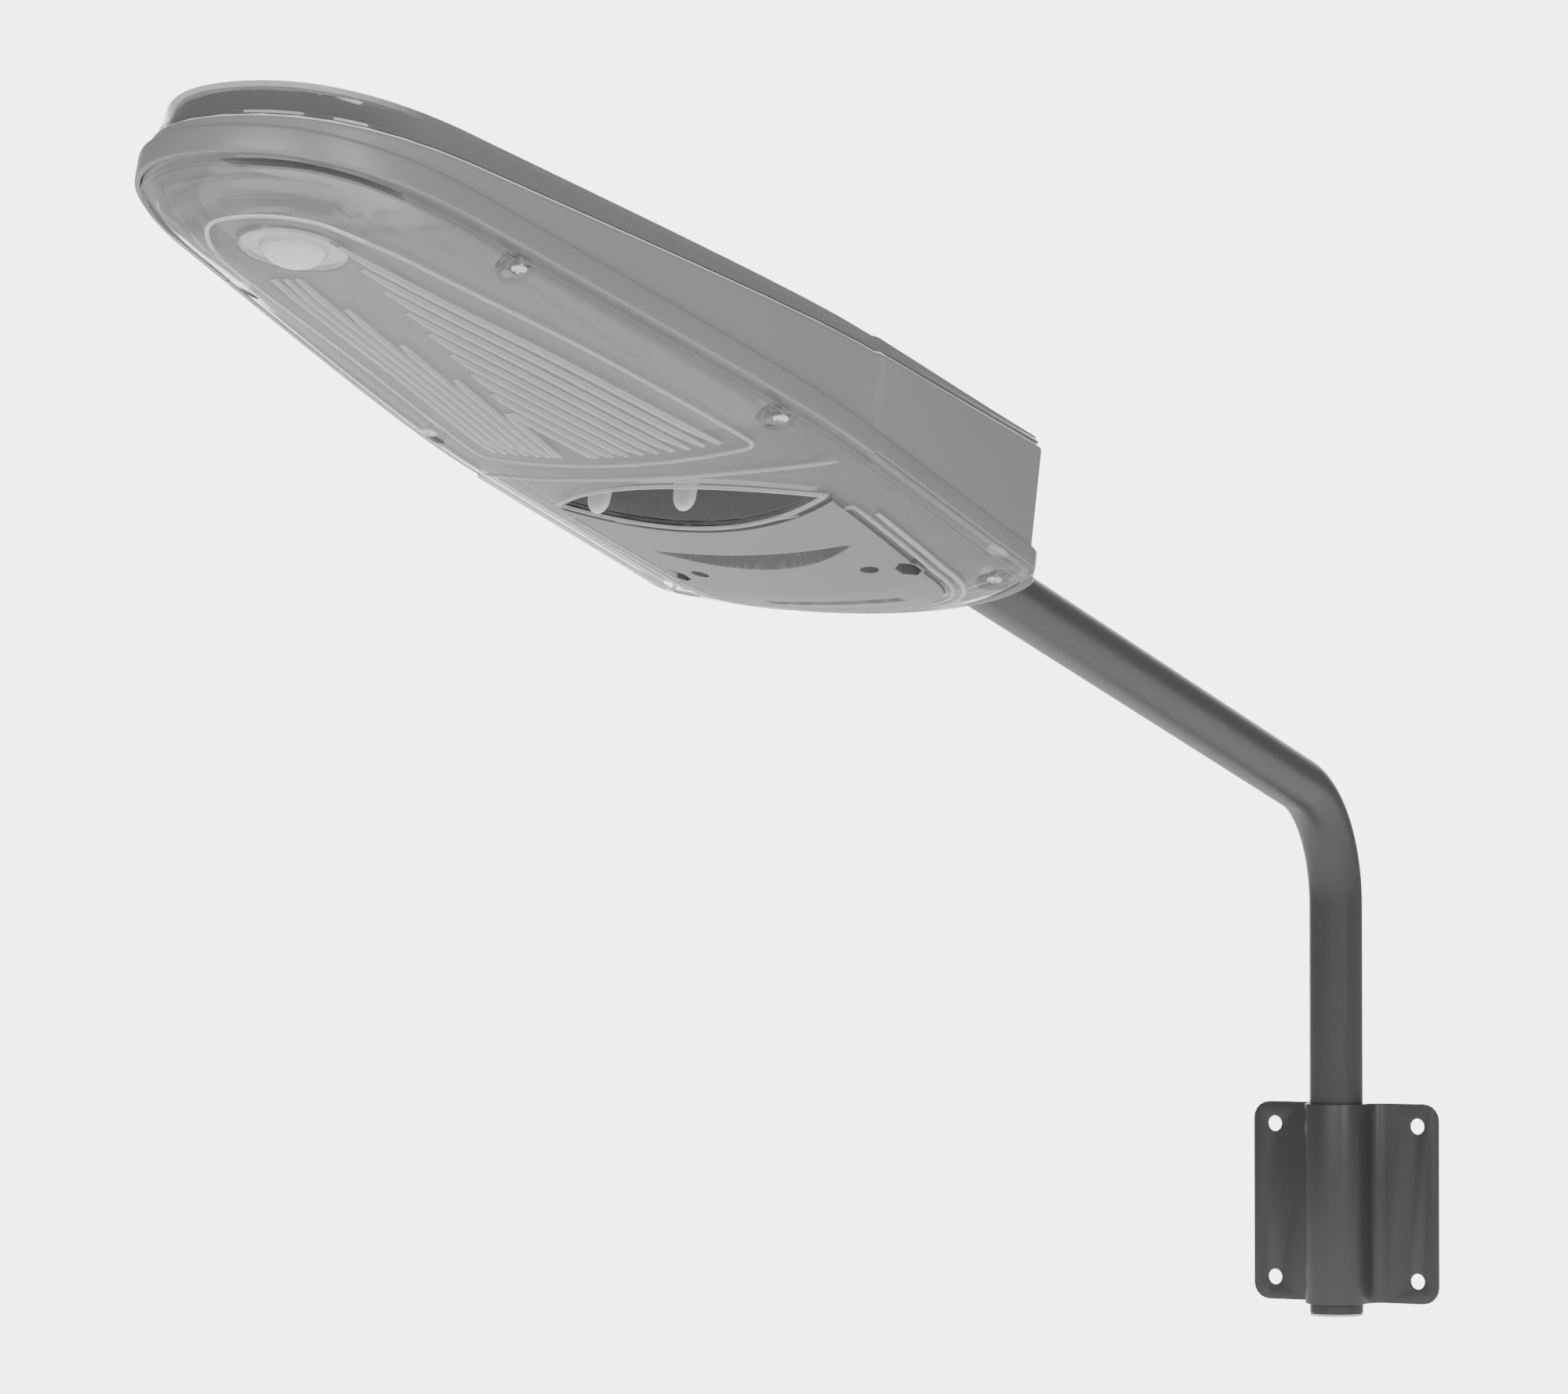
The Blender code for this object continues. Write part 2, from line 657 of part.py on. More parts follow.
def housing(head, arm_axis):
    """Upper shell: rim with its lip and seal shoulder, side walls, deck and screw bosses."""

    def outer_wall(extra):
        return lambda y: wall_inset(y) + extra

    deep = RIM_STEP + SHELL
    rear_deep = REAR_LEDGE + SHELL
    shoulder = LIP_THICKNESS + SHOULDER_WIDTH
    rings = [
        ring(deep + 0.002, lambda y: deck(y) - SHELL, rear_deep + 0.002),
        ring(deep + 0.001, lambda y: min(RIM_HEIGHT, deck(y) - SHELL - 0.001), rear_deep),
        ring(shoulder, SHOULDER_HEIGHT + 0.0005, rear_deep),
        ring(shoulder, SHOULDER_HEIGHT),
        ring(LIP_THICKNESS, SHOULDER_HEIGHT),
        ring(LIP_THICKNESS, rim_foot),
        ring(0.0010, rim_foot),
        ring(0.0, lambda y: rim_foot(y) + 0.0012),
        ring(0.0, RIM_HEIGHT - 0.0014),
        ring(0.0014, RIM_HEIGHT),
        ring(outer_wall(0.0), RIM_HEIGHT + 0.0005, REAR_LEDGE),
        ring(outer_wall(0.0008), lambda y: deck(y) - 0.0016, REAR_LEDGE + 0.0008),
        ring(outer_wall(0.0024), deck, REAR_LEDGE + 0.0024),
    ]
    bm = bmesh.new()
    skin(bm, rings)
    shell = add_object("housing", bm, head, HOUSING_GREY, smooth=28)
    bosses = bmesh.new()
    for x, y in boss_places():
        add_cylinder(bosses, BOSS_RADIUS, SHOULDER_HEIGHT, deck(y) - SHELL / 2, (x, y), 12)
    for x in (-COVER_SCREW_X, COVER_SCREW_X):
        foot = belly_inside(x, COVER_SCREW_Y) + 0.004
        add_cylinder(bosses, BOSS_RADIUS, foot, deck(COVER_SCREW_Y) - SHELL / 2, (x, COVER_SCREW_Y), 12)
    for x, y, foot in post_places():
        add_cylinder(bosses, POST_RADIUS, foot, deck(y) - SHELL / 2, (x, y), 8)
    cut(shell, "housing_bosses", bosses, head, "UNION")
    pilots = bmesh.new()
    for x, y in boss_places():
        depth = min(FLANGE_BOTTOM + SCREW_LENGTH + 0.001, deck(y) - SHELL)
        add_cylinder(pilots, SCREW_SHANK_RADIUS + GAP / 2, 0.0, depth, (x, y), 12)
    for x in (-COVER_SCREW_X, COVER_SCREW_X):
        foot = belly_inside(x, COVER_SCREW_Y)
        add_cylinder(pilots, SCREW_SHANK_RADIUS + GAP / 2, foot, foot + 0.020, (x, COVER_SCREW_Y), 12)
    cut(shell, "housing_pilots", pilots, head)
    clamp_bosses = bmesh.new()
    clamp_pilots = bmesh.new()
    boss_foot = CLAMP_THICKNESS + GAP
    pilot_radius = CLAMP_SCREW_RADIUS + GAP / 2
    for x in (-CLAMP_SCREW_X, CLAMP_SCREW_X):
        place = (x, -CLAMP_MIDDLE)
        add_cylinder(clamp_bosses, BOSS_RADIUS + 0.001, boss_foot, CLAMP_BOSS_TOP, place, 12)
        add_cylinder(clamp_pilots, pilot_radius, 0.0, CLAMP_SCREW_LENGTH, place, 12)
    upright = Matrix.Rotation(-math.pi / 2, 4, "X")
    cut(shell, "housing_clamp_bosses", moved(clamp_bosses, upright), arm_axis, "UNION")
    cut(shell, "housing_clamp_pilots", moved(clamp_pilots, upright), arm_axis)
    tube_hole = cylinder(TUBE_RADIUS + TUBE_HOLE_CLEARANCE, -0.01, 0.03, sides=20)
    cut(shell, "housing_tube_hole", tube_hole, arm_axis)
    return shell


def step_inset(extra):
    return lambda y: wall_inset(y) + TOP_COVER_STEP + extra


def step_rear(extra):
    return REAR_LEDGE + TOP_COVER_STEP + extra


def top_cover(head):
    """Clear cover with steep sides and a lightly crowned top, open underneath."""

    def part_way(share):
        return lambda y: foot(y) + (cover_top(y) - foot(y)) * share

    def foot(y):
        return deck(y) + 2 * GAP + SEAL_THICKNESS

    def inside_top(y):
        return cover_top(y) - SHELL

    rings = [
        ring(step_inset(0.0115), inside_top, step_rear(0.0115)),
        ring(step_inset(0.0060), lambda y: inside_top(y) - 0.0008, step_rear(0.0060)),
        ring(step_inset(0.0025), foot, step_rear(0.0025)),
        ring(step_inset(0.0), foot, step_rear(0.0)),
        ring(step_inset(0.0016), part_way(0.60), step_rear(0.0016)),
        ring(step_inset(0.0040), part_way(0.88), step_rear(0.0040)),
        ring(step_inset(0.0085), cover_top, step_rear(0.0085)),
        leaf(0.040, lambda x, y: cover_top(y) + TOP_COVER_CROWN * 0.7),
        leaf(0.085, lambda x, y: cover_top(y) + TOP_COVER_CROWN),
    ]
    bm = bmesh.new()
    skin(bm, rings)
    return add_object("top_cover", bm, head, CLEAR, smooth=40)


def outline_band(name, head, look, loops):
    """A closed band of four or more loops round the outline."""
    bm = bmesh.new()
    skin(bm, loops, ends_closed=False)
    return add_object(name, bm, head, look)


def top_cover_seal(head):
    low = lambda y: deck(y) + GAP
    high = lambda y: deck(y) + GAP + SEAL_THICKNESS
    loops = [
        ring(step_inset(0.0022), low, step_rear(0.0022)),
        ring(step_inset(0.0004), low, step_rear(0.0004)),
        ring(step_inset(0.0004), high, step_rear(0.0004)),
        ring(step_inset(0.0022), high, step_rear(0.0022)),
    ]
    return outline_band("top_cover_seal", head, RUBBER_BLACK, loops)


def panel_frame(head):
    """Raised frame that carries the solar panel close under the clear cover."""
    outer = PANEL_FRAME_INSET + 0.002
    inner = outer + PANEL_FRAME_WALL
    low = lambda y: deck(y) + GAP
    high = lambda y: panel_bottom(y) - GAP
    loops = [
        ring(step_inset(inner), low, step_rear(inner)),
        ring(step_inset(PANEL_FRAME_INSET), low, step_rear(PANEL_FRAME_INSET)),
        ring(step_inset(outer), high, step_rear(outer)),
        ring(step_inset(inner), high, step_rear(inner)),
    ]
    return outline_band("panel_frame", head, DARK_PLASTIC, loops)


def solar_panel(head):
    """Laminated panel that lies on the frame."""
    edge = PANEL_FRAME_INSET + 0.005
    bottom = ring(step_inset(edge), panel_bottom, step_rear(edge))
    top = ring(step_inset(edge), lambda y: panel_bottom(y) + PANEL_THICKNESS, step_rear(edge))
    bm = bmesh.new()
    skin(bm, [bottom, top])
    return add_object("solar_panel", bm, head, PANEL_BLUE)


# ---------------------------------------------------------------- lens


def lens_edge(y):
    """How far in the lens flange stops: inside the rim lip, or flush at the rear block."""
    return GAP if in_rear_block(y, JOG_STEP / 3) else LIP_THICKNESS + 2 * GAP


def cover_outline(amount):
    """Plan outline of the battery cover, grown by amount: concave front edge, rounded rear."""
    sweep_radius = (COVER_HALF_WIDTH**2 + COVER_FRONT_SWEEP**2) / (2 * COVER_FRONT_SWEEP)
    front_centre = COVER_FRONT + COVER_FRONT_SWEEP - sweep_radius
    front_angle = math.asin(COVER_HALF_WIDTH / sweep_radius)
    half = arc((0.0, front_centre), sweep_radius, math.pi / 2, math.pi / 2 - front_angle, 5)
    rear_start = COVER_REAR - COVER_REAR_CURVE
    half += [((COVER_HALF_WIDTH + COVER_REAR_HALF_WIDTH) / 2 + 0.001, (COVER_FRONT + rear_start) / 2)]
    for i in range(7):
        a = i * math.pi / 12
        x = COVER_REAR_HALF_WIDTH * math.cos(a) ** 0.75 if i < 6 else 0.0
        half.append((x, rear_start + COVER_REAR_CURVE * math.sin(a) ** 0.85))
    return grown(both_sides(half), amount)


def eye_outline(amount):
    """The eye-shaped opening in front of the cover: two arcs that meet at its corners."""
    reach = EYE_HALF_WIDTH + 1.6 * amount
    front_sweep = EYE_FRONT_SWEEP + amount
    rear_sweep = COVER_FRONT + COVER_FRONT_SWEEP - EYE_STRIP - EYE_CORNER + amount
    half = []
    steps = 6
    for i in range(steps + 1):
        x = reach * math.sin(math.pi / 2 * i / steps)
        half.append((x, EYE_CORNER - front_sweep * (1 - (x / reach) ** 2)))
    for i in range(1, steps + 1):
        x = reach * math.cos(math.pi / 2 * i / steps) if i < steps else 0.0
        half.append((x, EYE_CORNER + rear_sweep * (1 - (x / reach) ** 2)))
    return both_sides(half)


def sensor_seat():
    """Height of the sensor boss's floor inside."""
    return belly(0.0, SENSOR_Y) - SENSOR_BOSS_HEIGHT + SENSOR_BOSS_WALL


def sensor_boss_profile():
    """Section of the ring boss: a skirt through the belly and a floor with the sensor's hole."""
    seat = sensor_seat()
    low = seat - SENSOR_BOSS_WALL
    outer = SENSOR_BOSS_RADIUS
    inner = outer - SENSOR_BOSS_WALL
    hole = SENSOR_DOME_RADIUS + GAP
    return [
        (hole, low), (outer - 0.0015, low), (outer, low + 0.0015), (outer, SENSOR_SKIRT_TOP),
        (inner, SENSOR_SKIRT_TOP), (inner, seat), (hole, seat),
    ]


def lens_cover(head):
    """One clear moulding: flange, sloped wall and crowned belly, with its openings."""
    wall_top = FLANGE_WIDTH + LENS_WALL
    inside = [
        leaf(0.098, belly_inside),
        leaf(0.072, belly_inside),
        leaf(0.045, belly_inside),
        leaf(0.0225, lambda x, y: belly_inside(x, y) + 0.0003),
        ring(wall_top + LENS_WALL + 0.003, FLANGE_BOTTOM + LENS_WALL + 0.0005),
        ring(wall_top + LENS_WALL, FLANGE_TOP),
    ]
    outside = [
        ring(lens_edge, FLANGE_TOP),
        ring(lens_edge, FLANGE_BOTTOM + 0.0008),
        ring(lambda y: lens_edge(y) + 0.0008, FLANGE_BOTTOM),
        ring(wall_top, FLANGE_BOTTOM),
        leaf(0.0175, lambda x, y: belly(x, y) + 0.0006),
        leaf(0.045, belly),
        leaf(0.072, belly),
        leaf(0.098, belly),
    ]
    bm = bmesh.new()
    skin(bm, inside + outside)
    lens = add_object("lens_cover", bm, head, CLEAR, smooth=30)
    pads = bmesh.new()
    for x, y in boss_places():
        inward = math.copysign(POCKET_PAD_SHIFT, x)
        add_cylinder(pads, POCKET_PAD_RADIUS, FLANGE_BOTTOM - 0.0022, FLANGE_TOP - GAP, (x - inward, y), 16)
    cut(lens, "lens_pads", pads, head, "UNION")
    sensor_place = Matrix.Translation((0.0, SENSOR_Y, 0.0))
    middle = SENSOR_BOSS_RADIUS - SENSOR_BOSS_WALL / 2
    cut(lens, "lens_sensor_hole", cylinder(middle, -0.05, 0.0, (0.0, SENSOR_Y), 28), head)
    cut(lens, "lens_sensor_boss", moved(turned(sensor_boss_profile(), 28), sensor_place), head, "UNION")
    openings = prism(cover_outline(COVER_CLEARANCE), -0.04, FLANGE_TOP - GAP)
    cut(lens, "lens_battery_opening", openings, head)
    cut(lens, "lens_eye_opening", prism(eye_outline(0.0), -0.04, FLANGE_TOP - GAP), head)
    holes = bmesh.new()
    for x, y in boss_places():
        bore = SCREW_SHANK_RADIUS + SCREW_CLEARANCE
        add_well(holes, (x, y), POCKET_RADIUS, POCKET_SEAT, bore, -0.04, 0.02)
    cut(lens, "lens_pockets", holes, head)
    return lens


def lens_seal(head):
    inner = LIP_THICKNESS + SHOULDER_WIDTH - GAP
    outer = LIP_THICKNESS + 2 * GAP
    low = FLANGE_TOP + GAP
    high = SHOULDER_HEIGHT - GAP
    loops = [ring(inner, low), ring(outer, low), ring(outer, high), ring(inner, high)]
    return outline_band("lens_seal", head, RUBBER_BLACK, loops)


def screw_mesh(head_radius, head_height, shank_radius, length):
    """Pan-head screw pointing up +Z, its head's underside at Z = 0, with a cross recess."""
    profile = [
        (0.0, -head_height),
        (head_radius * 0.62, -head_height),
        (head_radius, -head_height * 0.4),
        (head_radius, 0.0),
        (shank_radius, 0.0),
        (shank_radius, length),
        (0.0, length),
    ]
    return turned(profile, 10)


def cross_recess(head_radius, head_height):
    bm = bmesh.new()
    reach = head_radius * 0.5
    width = head_radius * 0.13
    depth = head_height * 0.5
    quarter = [(reach, -width), (reach, width), (width, width)]
    outline = []
    for turn in range(4):
        c, s = ((1, 0), (0, 1), (-1, 0), (0, -1))[turn]
        outline += [(x * c - y * s, x * s + y * c) for x, y in quarter]
    low = -head_height - 0.001
    high = -head_height + depth
    skin(bm, [[(x, y, low) for x, y in outline], [(x, y, high) for x, y in outline]])
    return bm


def screw(name, parent, place, sizes):
    body = add_object(name, screw_mesh(*sizes), parent, ZINC)
    body.location = place
    recess = cut(body, name + "_recess", cross_recess(*sizes[:2]), parent)
    recess.location = place
    return body


def lens_screws(head):
    sizes = (SCREW_HEAD_RADIUS, SCREW_HEAD_HEIGHT, SCREW_SHANK_RADIUS, SCREW_LENGTH)
    for number, (x, y) in enumerate(boss_places(), start=1):
        screw("lens_screw_%d" % number, head, (x, y, POCKET_SEAT - GAP), sizes)


# ---------------------------------------------------------------- lighting and sensor


def flank_plate(front, rear, inset, steps=6):
    """Plan outline between two stations, inset from the head's flanks."""
    ys = [front + (rear - front) * i / steps for i in range(steps + 1)]
    right = [(half_width(y) - inset, y) for y in ys]
    return right + [(-x, y) for x, y in reversed(right)]


def reflector(head):
    """White tray above the light boards, its edge turned down."""
    front = LIGHT_FRONT - 0.006
    rear = LIGHT_REAR + 0.004
    top = REFLECTOR_HEIGHT + 0.0015
    outside = prism(flank_plate(front, rear, REFLECTOR_INSET), FLANGE_TOP + 2 * GAP, top)
    tray = add_object("reflector_tray", outside, head, WHITE_PLASTIC)
    inner_plan = flank_plate(front + 0.0015, rear - 0.0015, REFLECTOR_INSET + 0.0015)
    hollow = prism(inner_plan, -0.01, REFLECTOR_HEIGHT)
    cut(tray, "reflector_hollow", hollow, head)
    return tray


def led_board(name, head, side):
    """One light board with two rows of chips on its underside."""
    top = REFLECTOR_HEIGHT - GAP
    bottom = top - BOARD_THICKNESS
    near = side * LED_BOARD_SPACING / 2
    far = side * (LED_BOARD_SPACING / 2 + LED_BOARD_WIDTH)
    low_x = min(near, far)
    high_x = max(near, far)
    board = add_object(
        name, box((low_x, LIGHT_FRONT, bottom), (high_x, LIGHT_REAR, top)), head, BOARD_WHITE
    )
    chips = bmesh.new()
    pitch = (LIGHT_REAR - LIGHT_FRONT) / LEDS_PER_ROW
    for row in (0.25, 0.75):
        x = near + side * LED_BOARD_WIDTH * row
        for i in range(LEDS_PER_ROW):
            y = LIGHT_FRONT + pitch * (i + 0.5)
            reach = LED_SIZE / 2
            low = (x - reach, y - reach, bottom - LED_HEIGHT)
            add_box(chips, low, (x + reach, y + reach, bottom + 0.0005))
    cut(board, name + "_chips", chips, head, "UNION")
    return board


def motion_sensor(head):
    """White lens dome in the clear boss, with the sensor can and its board above."""
    radius = SENSOR_DOME_RADIUS
    seat = sensor_seat() + GAP
    drop = SENSOR_DOME_DROP
    steps = 4
    angles = [math.pi / 2 * i / steps for i in range(steps)]
    outer = [(radius * math.sin(a), -drop * math.cos(a)) for a in angles]
    inner = [(r * 0.90, z * 0.88) for r, z in outer]
    collar = radius + 0.003
    profile = outer + [(radius, 0.0), (collar, 0.0), (collar, 0.0012), (radius * 0.9, 0.0012)]
    profile += [(r, z) for r, z in reversed(inner)]
    dome = add_object("sensor_dome", turned(profile, 20), head, WHITE_PLASTIC, smooth=50)
    dome.location = (0.0, SENSOR_Y, seat)
    board_low = seat + SENSOR_BOARD_LIFT
    board = add_object("sensor_board", cylinder(0.013, 0.0, BOARD_THICKNESS, sides=20), head, BOARD_GREEN)
    board.location = (0.0, SENSOR_Y, board_low)
    can_profile = [(0.0, -0.0042), (0.0042, -0.0042), (0.0046, -0.0038), (0.0046, -GAP), (0.0, -GAP)]
    can = add_object("sensor_can", turned(can_profile, 16), head, ZINC)
    can.location = (0.0, SENSOR_Y, board_low)


# ---------------------------------------------------------------- battery cover and eye


def battery_cover(head):
    """Grey convex cover: crowned shell with a scoop, screw wells, side notches and a badge recess."""

    def shell(name, low, high):
        insets = (0.098, 0.072, 0.045, 0.018)
        rings = [leaf(inset, lambda x, y: belly(x, y) + high) for inset in insets]
        rings += [leaf(inset, lambda x, y: belly(x, y) + low) for inset in reversed(insets)]
        bm = bmesh.new()
        skin(bm, rings)
        return add_object(name, bm, head, COVER_GREY)

    cover = shell("battery_cover", -0.0012, 0.0016)
    cut(cover, "cover_blank", prism(cover_outline(0.0), -0.05, 0.05), head, "INTERSECT")
    wells = bmesh.new()
    for x in (-COVER_SCREW_X, COVER_SCREW_X):
        height = belly(x, COVER_SCREW_Y)
        top = height + COVER_WELL_DEPTH + 0.0015
        add_cylinder(wells, COVER_WELL_RADIUS + 0.0012, height - 0.0002, top, (x, COVER_SCREW_Y), 16)
    cut(cover, "cover_wells", wells, head, "UNION")
    holes = bmesh.new()
    for x in (-COVER_SCREW_X, COVER_SCREW_X):
        seat = belly(x, COVER_SCREW_Y) + COVER_WELL_DEPTH
        place = (x, COVER_SCREW_Y)
        add_well(holes, place, COVER_WELL_RADIUS, seat, SCREW_SHANK_RADIUS + SCREW_CLEARANCE, -0.05, 0.02)
    cut(cover, "cover_holes", holes, head)
    notches = bmesh.new()
    for side in (-1, 1):
        x = side * (COVER_REAR_HALF_WIDTH - 0.0035)
        y = COVER_SCREW_Y + 0.008
        along = NOTCH_LENGTH / 2
        across = NOTCH_WIDTH / 2
        plan = [(x - across, y - along * 0.45), (x, y - along), (x + across, y - along * 0.45)]
        plan += [(x + across, y + along * 0.45), (x, y + along), (x - across, y + along * 0.45)]
        skin(notches, [[(px, py, -0.04) for px, py in plan], [(px, py, 0.0) for px, py in plan]])
    cut(cover, "cover_notches", notches, head)
    scoop_front = COVER_FRONT + SCOOP_SETBACK
    floor = belly(0.0, scoop_front + SCOOP_REAR_DEPTH / 2)
    steps = 8
    front_edge = []
    rear_edge = []
    for i in range(steps + 1):
        x = -SCOOP_HALF_WIDTH + 2 * SCOOP_HALF_WIDTH * i / steps
        share = 1 - (x / SCOOP_HALF_WIDTH) ** 2
        front_edge.append((x, scoop_front + 0.002 * share))
        rear_edge.append((x, scoop_front + 0.0004 + SCOOP_REAR_DEPTH * share))
    dish = bmesh.new()
    plan = front_edge + rear_edge[::-1]
    low = [(x, y, floor - 0.006) for x, y in plan]
    top = []
    for i, (x, y) in enumerate(plan):
        share = 1 - (x / SCOOP_HALF_WIDTH) ** 2
        lift = 0.0006 * share if i <= steps else -0.0006
        top.append((x, y, belly(x, y) + lift - 0.0002))
    skin(dish, [low, top])
    cut(cover, "cover_scoop", dish, head)
    badge = []
    for i in range(9):
        a = math.pi * i / 8
        badge.append((0.038 * math.cos(a), COVER_REAR - 0.022 + 0.010 * math.sin(a)))
    depth = belly(0.0, COVER_REAR - 0.020) - 0.0004
    cut(cover, "cover_badge", prism(badge[::-1], -0.05, depth), head)
    return cover


def cover_screws(head):
    for number, x in enumerate((-COVER_SCREW_X, COVER_SCREW_X), start=1):
        seat = belly(x, COVER_SCREW_Y) + COVER_WELL_DEPTH - GAP
        sizes = (0.0040, 0.0022, SCREW_SHANK_RADIUS, 0.013)
        screw("cover_screw_%d" % number, head, (x, COVER_SCREW_Y, seat), sizes)


def cover_seal(head):
    """Flat gasket inside the lens, round the battery opening."""
    inner = cover_outline(0.0)
    outer = cover_outline(0.0040)
    lift = 2 * GAP
    thick = 0.0014

    def loop(outline, extra):
        return [(x, y, belly_inside(x, y) + lift + extra) for x, y in outline]

    bm = bmesh.new()
    rings = [loop(inner, 0.0), loop(outer, 0.0), loop(outer, thick), loop(inner, thick)]
    skin(bm, rings, ends_closed=False)
    return add_object("cover_seal", bm, head, RUBBER_BLACK)


def eye_cup(head):
    """Dark cup that closes the housing behind the eye, with two lever holes in its top."""

    def loop(amount, height=None, lift=0.0):
        plan = eye_outline(amount)
        return [(x, y, belly_inside(x, y) + lift if height is None else height) for x, y in plan]

    rim = 2 * GAP
    rings = [
        loop(-0.0040, EYE_CUP_TOP - EYE_CUP_WALL),
        loop(-0.0010, None, rim),
        loop(0.0015, None, rim),
        loop(-0.0020, EYE_CUP_TOP),
    ]
    bm = bmesh.new()
    skin(bm, rings)
    cup = add_object("eye_cup", bm, head, DARK_PLASTIC)
    slots = bmesh.new()
    for x in LEVER_X:
        reach_x = LEVER_WIDTH / 2 + 0.001
        reach_y = LEVER_THICKNESS / 2 + 0.002
        add_box(slots, (x - reach_x, LEVER_Y - reach_y, 0.0), (x + reach_x, LEVER_Y + reach_y, 0.03))
    cut(cup, "eye_cup_slots", slots, head)
    return cup


def switch_board(head):
    """Board above the cup with the two switch bodies on it."""
    low = EYE_CUP_TOP + 0.0050
    front = LEVER_Y - 0.011
    high = (LEVER_X[1] + 0.010, LEVER_Y + 0.011, low + BOARD_THICKNESS)
    board = box((LEVER_X[0] - 0.010, front, low), high)
    obj = add_object("switch_board", board, head, BOARD_GREEN)
    bodies = bmesh.new()
    for x in LEVER_X:
        body_low = (x - 0.006, LEVER_Y - 0.005, low - 0.0035)
        add_box(bodies, body_low, (x + 0.006, LEVER_Y + 0.005, low + 0.0005))
    cut(obj, "switch_bodies", bodies, head, "UNION")
    return obj


def switch_lever(name, head, x):
    """Rounded frosted boot over a toggle, hanging from its pivot."""
    half = LEVER_WIDTH / 2
    straight = LEVER_LENGTH - half
    face = arc((0.0, -straight), half, -math.pi, 0.0, 8) + [(half * 0.92, 0.002), (-half * 0.92, 0.002)]
    rings = []
    for y, inset in ((-0.5, 0.0012), (-0.28, 0.0), (0.28, 0.0), (0.5, 0.0012)):
        shrink = 1 - inset / half
        rings.append([(px * shrink, y * LEVER_THICKNESS, min(pz * shrink, 0.002)) for px, pz in face])
    bm = bmesh.new()
    skin(bm, rings)
    lever = add_object(name, bm, head, FROSTED)
    lever.location = (x, LEVER_Y, LEVER_PIVOT_HEIGHT)
    return lever


# ---------------------------------------------------------------- batteries


def battery_tray(head):
    low = (-TRAY_HALF_WIDTH, TRAY_FRONT, TRAY_BOTTOM)
    high = (TRAY_HALF_WIDTH, TRAY_REAR, TRAY_TOP)
    tray = add_object("battery_tray", box(low, high), head, DARK_PLASTIC)
    inner_low = (low[0] + TRAY_WALL, low[1] + TRAY_WALL, -0.05)
    inner_high = (high[0] - TRAY_WALL, high[1] - TRAY_WALL, TRAY_TOP - TRAY_WALL)
    cut(tray, "tray_hollow", box(inner_low, inner_high), head)
    return tray


def contact_plate(name, head, y):
    reach = TRAY_HALF_WIDTH - TRAY_WALL - GAP
    low = (-reach, y, CELL_AXIS_HEIGHT - 0.008)
    high = (reach, y + CONTACT_THICKNESS, CELL_AXIS_HEIGHT + 0.008)
    return add_object(name, box(low, high), head, ZINC)


def battery_cell(name, head, x, y, flipped):
    """Cell lying along Y: sleeve with a raised positive button at one end."""
    body = CELL_LENGTH - 0.0015
    profile = [
        (0.0, 0.0), (CELL_RADIUS - 0.0008, 0.0), (CELL_RADIUS, 0.0008), (CELL_RADIUS, body - 0.0008),
        (CELL_RADIUS - 0.0008, body), (0.0045, body), (0.0045, CELL_LENGTH), (0.0, CELL_LENGTH),
    ]
    turn = Matrix.Rotation(math.pi / 2 if flipped else -math.pi / 2, 4, "X")
    shift = Matrix.Translation((0.0, CELL_LENGTH if flipped else 0.0, 0.0))
    cell = add_object(name, moved(turned(profile, 16), shift @ turn), head, CELL_SLEEVE)
    cell.location = (x, y, CELL_AXIS_HEIGHT)
    return cell


def contact_spring(name, head, x, y, towards):
    """Tapered coil spring, its wide end on the contact plate."""
    turns = 2.5
    wire = 0.0005
    steps = 25
    curve = bpy.data.curves.new(name, "CURVE")
    curve.dimensions = "3D"
    curve.bevel_depth = wire
    curve.bevel_resolution = 0
    curve.use_fill_caps = True
    line = curve.splines.new("POLY")
    line.points.add(steps)
    length = SPRING_LENGTH - 2 * wire - 2 * GAP
    for i in range(steps + 1):
        share = i / steps
        a = 2 * math.pi * turns * share
        radius = 0.0065 - 0.0025 * share
        along = towards * length * (share - 0.5)
        line.points[i].co = (radius * math.cos(a), along, radius * math.sin(a), 1.0)
    curve.materials.append(material(name, *ZINC))
    spring = bpy.data.objects.new(name, curve)
    bpy.context.scene.collection.objects.link(spring)
    spring.parent = head
    spring.location = (x, y, CELL_AXIS_HEIGHT)
    return spring


def batteries(head):
    inner_front = TRAY_FRONT + TRAY_WALL
    inner_rear = inner_front + TRAY_INNER_LENGTH
    contact_plate("contact_plate_front", head, inner_front + GAP)
    contact_plate("contact_plate_rear", head, inner_rear - GAP - CONTACT_THICKNESS)
    front_face = inner_front + GAP + CONTACT_THICKNESS
    rear_face = inner_rear - GAP - CONTACT_THICKNESS
    for i in range(CELL_COUNT):
        x = (i - (CELL_COUNT - 1) / 2) * CELL_SPACING
        flipped = i % 2 == 1
        if flipped:
            cell_y = front_face + GAP
            spring_y = rear_face - GAP - SPRING_LENGTH / 2
            towards = -1
        else:
            cell_y = rear_face - GAP - CELL_LENGTH
            spring_y = front_face + GAP + SPRING_LENGTH / 2
            towards = 1
        battery_cell("battery_cell_%d" % (i + 1), head, x, cell_y, flipped)
        contact_spring("contact_spring_%d" % (i + 1), head, x, spring_y, towards)


# ---------------------------------------------------------------- control board, clamp, leads


